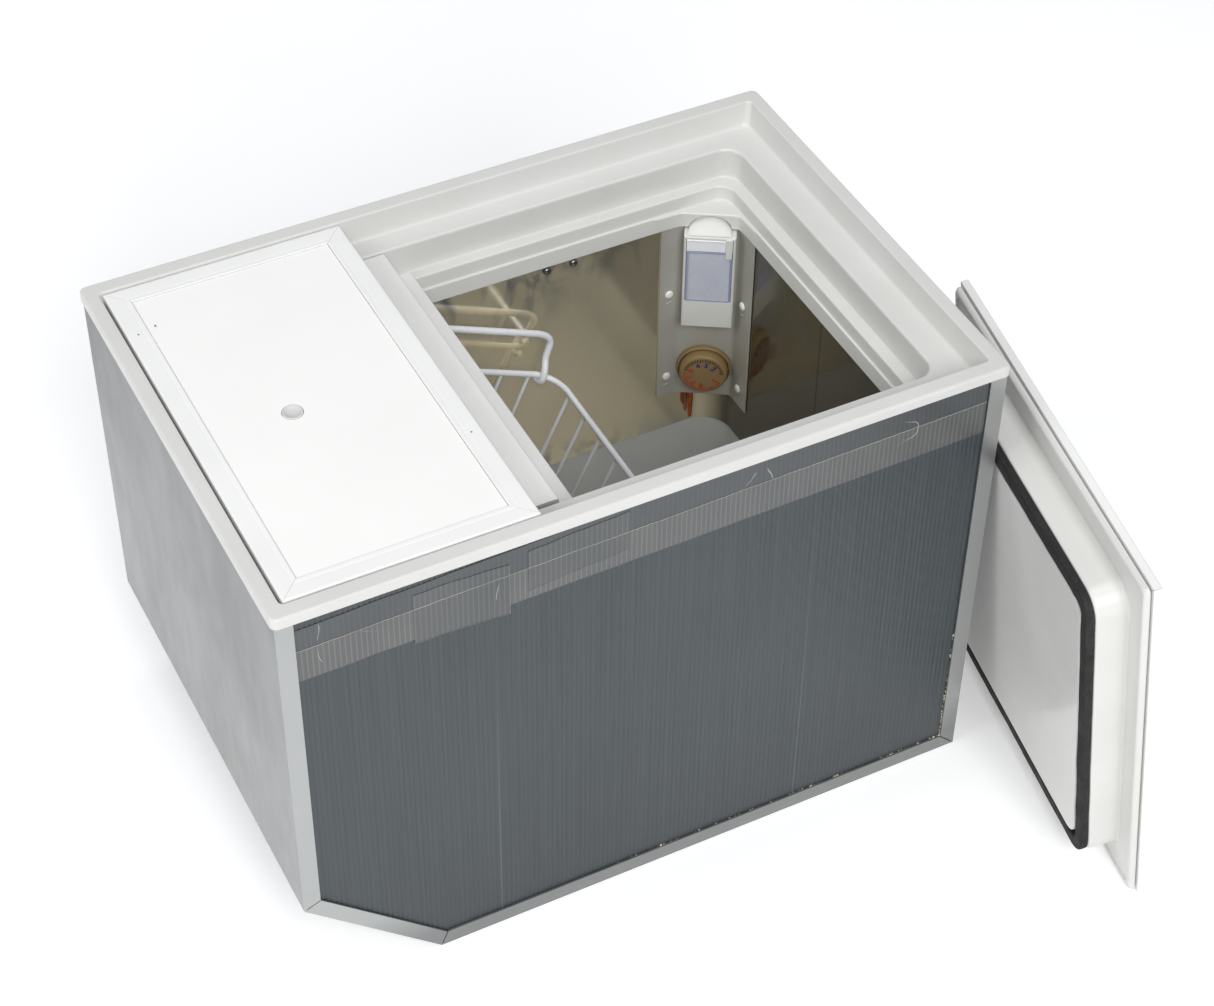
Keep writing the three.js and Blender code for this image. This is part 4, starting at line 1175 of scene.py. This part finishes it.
def lid_bed(half_x):
    """The vacuum-formed underside: a flange and a deep tray with soft corners."""
    def flange(inset, corner, z, fillet):
        return half_x - inset, LID_HALF_Y - inset, corner, z, fillet

    def bed(inset, corner, z, fillet):
        return half_x - BED_INSET_X - inset, BED_HALF_Y - inset, corner, z, fillet

    seal, under, over = 12.9, -LID_SEAL + 0.6, -LID_PLATE - GAP
    return stepped([
        bed(seal + 12, 8, under, 0), bed(seal + 0.8, 15, under, 1.2), bed(seal, 15.5, -LID_TRAY, 0.6),
        bed(0.6, 19, -LID_TRAY, 3), bed(0, 19, -LID_FLANGE, 2.2), flange(7, 6, -LID_FLANGE, 0.8),
        flange(6.6, 6, -LID_FLANGE - 1.1, 0.8), flange(3.2, 5, -LID_FLANGE - 0.6, 1.2),
        flange(1.6, 4, -LID_FLANGE + 1.6, 1.6), flange(1.6, 4, -LID_PLATE - 1.5, 1.2),
        flange(4.5, 4, over, 0.6), bed(2, 18, over, 0),
    ])


def resampled(loop, count):
    """The closed loop again, as count points spread evenly by index."""
    result = []
    for k in range(count):
        at = k * len(loop) / count
        low = int(at)
        result.append(loop[low].lerp(loop[(low + 1) % len(loop)], at - low))
    return result


def seal_ring(half_x, seed):
    """The foam seal, glued on by hand: its edges wander a little."""
    out_x, out_y = half_x - BED_INSET_X - 1.6, BED_HALF_Y - 1.6
    top, low, wide = -LID_TRAY - GAP, -LID_SEAL, 11.4
    section = rounded([(0, top), (0, low), (wide, low), (wide, top)], [0.8, 2, 2, 0.8], 4, ring=True)
    loops = []
    for inset, z in section:
        loop = []
        plain = [Vector(v) for v in rounded_loop(out_x - inset, out_y - inset, max(19 - inset, 8), z)]
        for start, end in zip(plain, plain[1:] + plain[:1]):
            pieces = max(1, round((end - start).length / 7))
            loop += [start.lerp(end, k / pieces) for k in range(pieces)]
        loops.append(loop)
    count = min(len(loop) for loop in loops)
    loops = [resampled(loop, count) for loop in loops]
    for point in (point for loop in loops for point in loop):
        aside = 0.9 * noise.noise(Vector((point.x * 0.03, point.y * 0.03, seed)))
        point.x += aside * (1 if point.x < 0 else -1)
        point.y += aside * (1 if point.y < 0 else -1)
        point.z += 0.35 * noise.noise(Vector((point.x * 0.06, point.y * 0.06, seed + 9)))
        point.z = max(point.z, low)
    return skin(loops, ring=True)


def plug():
    profile = [(0, -6.2), (6, -6.2), (7.5, -3), (7.5, -0.7), (7.1, -0.25), (6.2, -0.35), (5.4, -0.9), (4, -1.5),
               (2, -1.9), (0, -2)]
    smooth = rounded(profile, [0, 0, 0.5, 0.3, 0.4, 0.4, 0.5, 0.8, 0.8, 0], 3)
    return moved(turned(smooth, 48), Matrix.Translation((PLUG_X, PLUG_Y, 0)))


def centre_panel(half_x):
    """Glossy sheet inside the seal."""
    x, y, face = half_x - BED_INSET_X - 14.2, BED_HALF_Y - 14.2, -LID_SEAL + 0.12
    return stepped([(x, y, 13.5, -LID_SEAL + 1, 0), (x, y, 13.5, face, 0.3), (x - 6, y - 6, 10, face, 0)])


def dress_lid(name, half_x, seat, seed):
    def add(piece, geometry, slot, node=None, **settings):
        nodes = [f"{name}_{node}"] if node else ()
        make(f"{name}_{piece}", moved(geometry, seat), slot, nodes, name, **settings)

    for quarter, side in enumerate(("front", "right", "back", "left")):
        run, across = (LID_HALF_Y, half_x) if quarter % 2 else (half_x, LID_HALF_Y)
        turn = Matrix.Rotation(radians(90 * quarter), 4, "Z")
        add(f"{side}_strip", moved(trim_bar(run, across), turn), "lid_trim", f"{side}_trim", sharp=40)
    add("bed", lid_bed(half_x), "lid_tray", "tray", sharp=50)
    add("seal_ring", seal_ring(half_x, seed), "gasket", "gasket", sharp=70)
    add("button", plug(), "lid_panel", "plug", finish=PLUG_GREY)
    add("under_panel", centre_panel(half_x), "lid_tray", finish=UNDER_PANEL)
    spots = [(-half_x + 8, 117), (half_x - 8, -78), (-half_x + 22, 121)]
    holes = merged(*(moved(PIN_HOLE, Matrix.Translation((x, y, 0))) for x, y in spots))
    add("pin_holes", holes, "lid_trim", finish=HOLE_SHADE)


# each pin hole is a flat dark disc of painted shade, barely proud of the trim
PIN_HOLE = turned([(0.7, -0.1), (0.7, 0.02), (0, 0.03)], 12)
left_lid_frame = Matrix.Translation((centre_of("left_lid_panel").x, 0, RIM_TOP - 0.5))
dress_lid("left_lid", LEFT_HALF_X, left_lid_frame, 3.1)
dress_lid("right_lid", RIGHT_HALF_X, right_lid_frame(), 8.4)


# ---- wire basket
BASKET = Matrix.Translation((BASKET_X, 0, BASKET_Z)) @ Matrix.Rotation(BASKET_TILT, 4, "Y")


def rim_ring():
    path = rounded_loop(BASKET_WIDE / 2, BASKET_LONG / 2, BASKET_CORNER, 0, -BASKET_WIDE / 2, 12)
    return moved(tube(path, RIM_WIRE, 16, closed=True), BASKET)


def hoop(*points):
    """A grid wire that runs down one side, over the floor and up the other."""
    return capped_tube(rounded(points, [0, 12, 12, 0], 6), GRID_WIRE, 10)


def wire_grid():
    out = RIM_WIRE - GRID_WIRE + 0.6  # centre of a grid wire from the rim wire's centre line
    top, low, taper = -RIM_WIRE * 0.6, -BASKET_DEEP + GRID_WIRE, 4
    side_low = low + 2 * GRID_WIRE  # the wires that run in X lie on the ones that run in Y
    right, left = out - 0.6, -BASKET_WIDE - out + 0.6
    half = BASKET_LONG / 2 + out - 0.6
    wires, margin = 8, 24
    parts = []
    for k in range(wires):
        y = -BASKET_LONG / 2 + margin + (BASKET_LONG - 2 * margin) * k / (wires - 1)
        feet = (right - taper, y, side_low), (left + taper, y, side_low)
        parts.append(hoop((right, y, top), *feet, (left, y, top)))
    for k in range(wires):
        x = -margin - (BASKET_WIDE - 2 * margin) * k / (wires - 1)
        parts.append(hoop((x, -half, top), (x, -half + taper, low), (x, half - taper, low), (x, half, top)))
    share = 0.52  # one wire goes round outside the hoops, this far down
    grow = out - taper * share + 2.4
    half_wide, half_long = BASKET_WIDE / 2, BASKET_LONG / 2
    waist = rounded_loop(half_wide + grow, half_long + grow, BASKET_CORNER, low * share, -half_wide)
    parts.append(tube(waist, GRID_WIRE, 10, closed=True))
    return moved(merged(*parts), BASKET)


make("basket_rim_wire", rim_ring(), "coated_wire", ["basket_rim"], body="basket", sharp=60)
make("basket_grid", wire_grid(), "coated_wire", ["basket_body"], body="basket", sharp=60)

BAIL_HIGH, BAIL_FIRST, BAIL_LAST = 35, -15, -160


def bail():
    """A handle of one wire: a hook round the rim wire at each end and two generous bends."""
    hook = RIM_WIRE + BAIL_WIRE + 0.2
    curl = [(-hook * cos(radians(a)), hook * sin(radians(a))) for a in range(-150, 1, 15)]
    curl += [(-hook * 0.97, 3), (-hook * 0.7, 7.5), (-hook * 0.25, 12)]
    start, end = ([(x, y, z) for y, z in curl] for x in (BAIL_FIRST, BAIL_LAST))
    legs = [(BAIL_FIRST, 0, 16), (BAIL_FIRST, 0, BAIL_HIGH), (BAIL_LAST, 0, BAIL_HIGH), (BAIL_LAST, 0, 16)]
    return capped_tube(start + rounded(legs, [0, 17, 17, 0], 12) + end[::-1], BAIL_WIRE, 14)


for side, y, lean in (("back", BASKET_LONG / 2, -8), ("front", -BASKET_LONG / 2, -166)):
    place = BASKET @ Matrix.Translation((0, y, 0)) @ Matrix.Rotation(radians(lean), 4, "X")
    handle = f"{side}_handle"
    make(f"{side}_bail", moved(bail(), place), "coated_wire", [handle], body=handle, sharp=60)
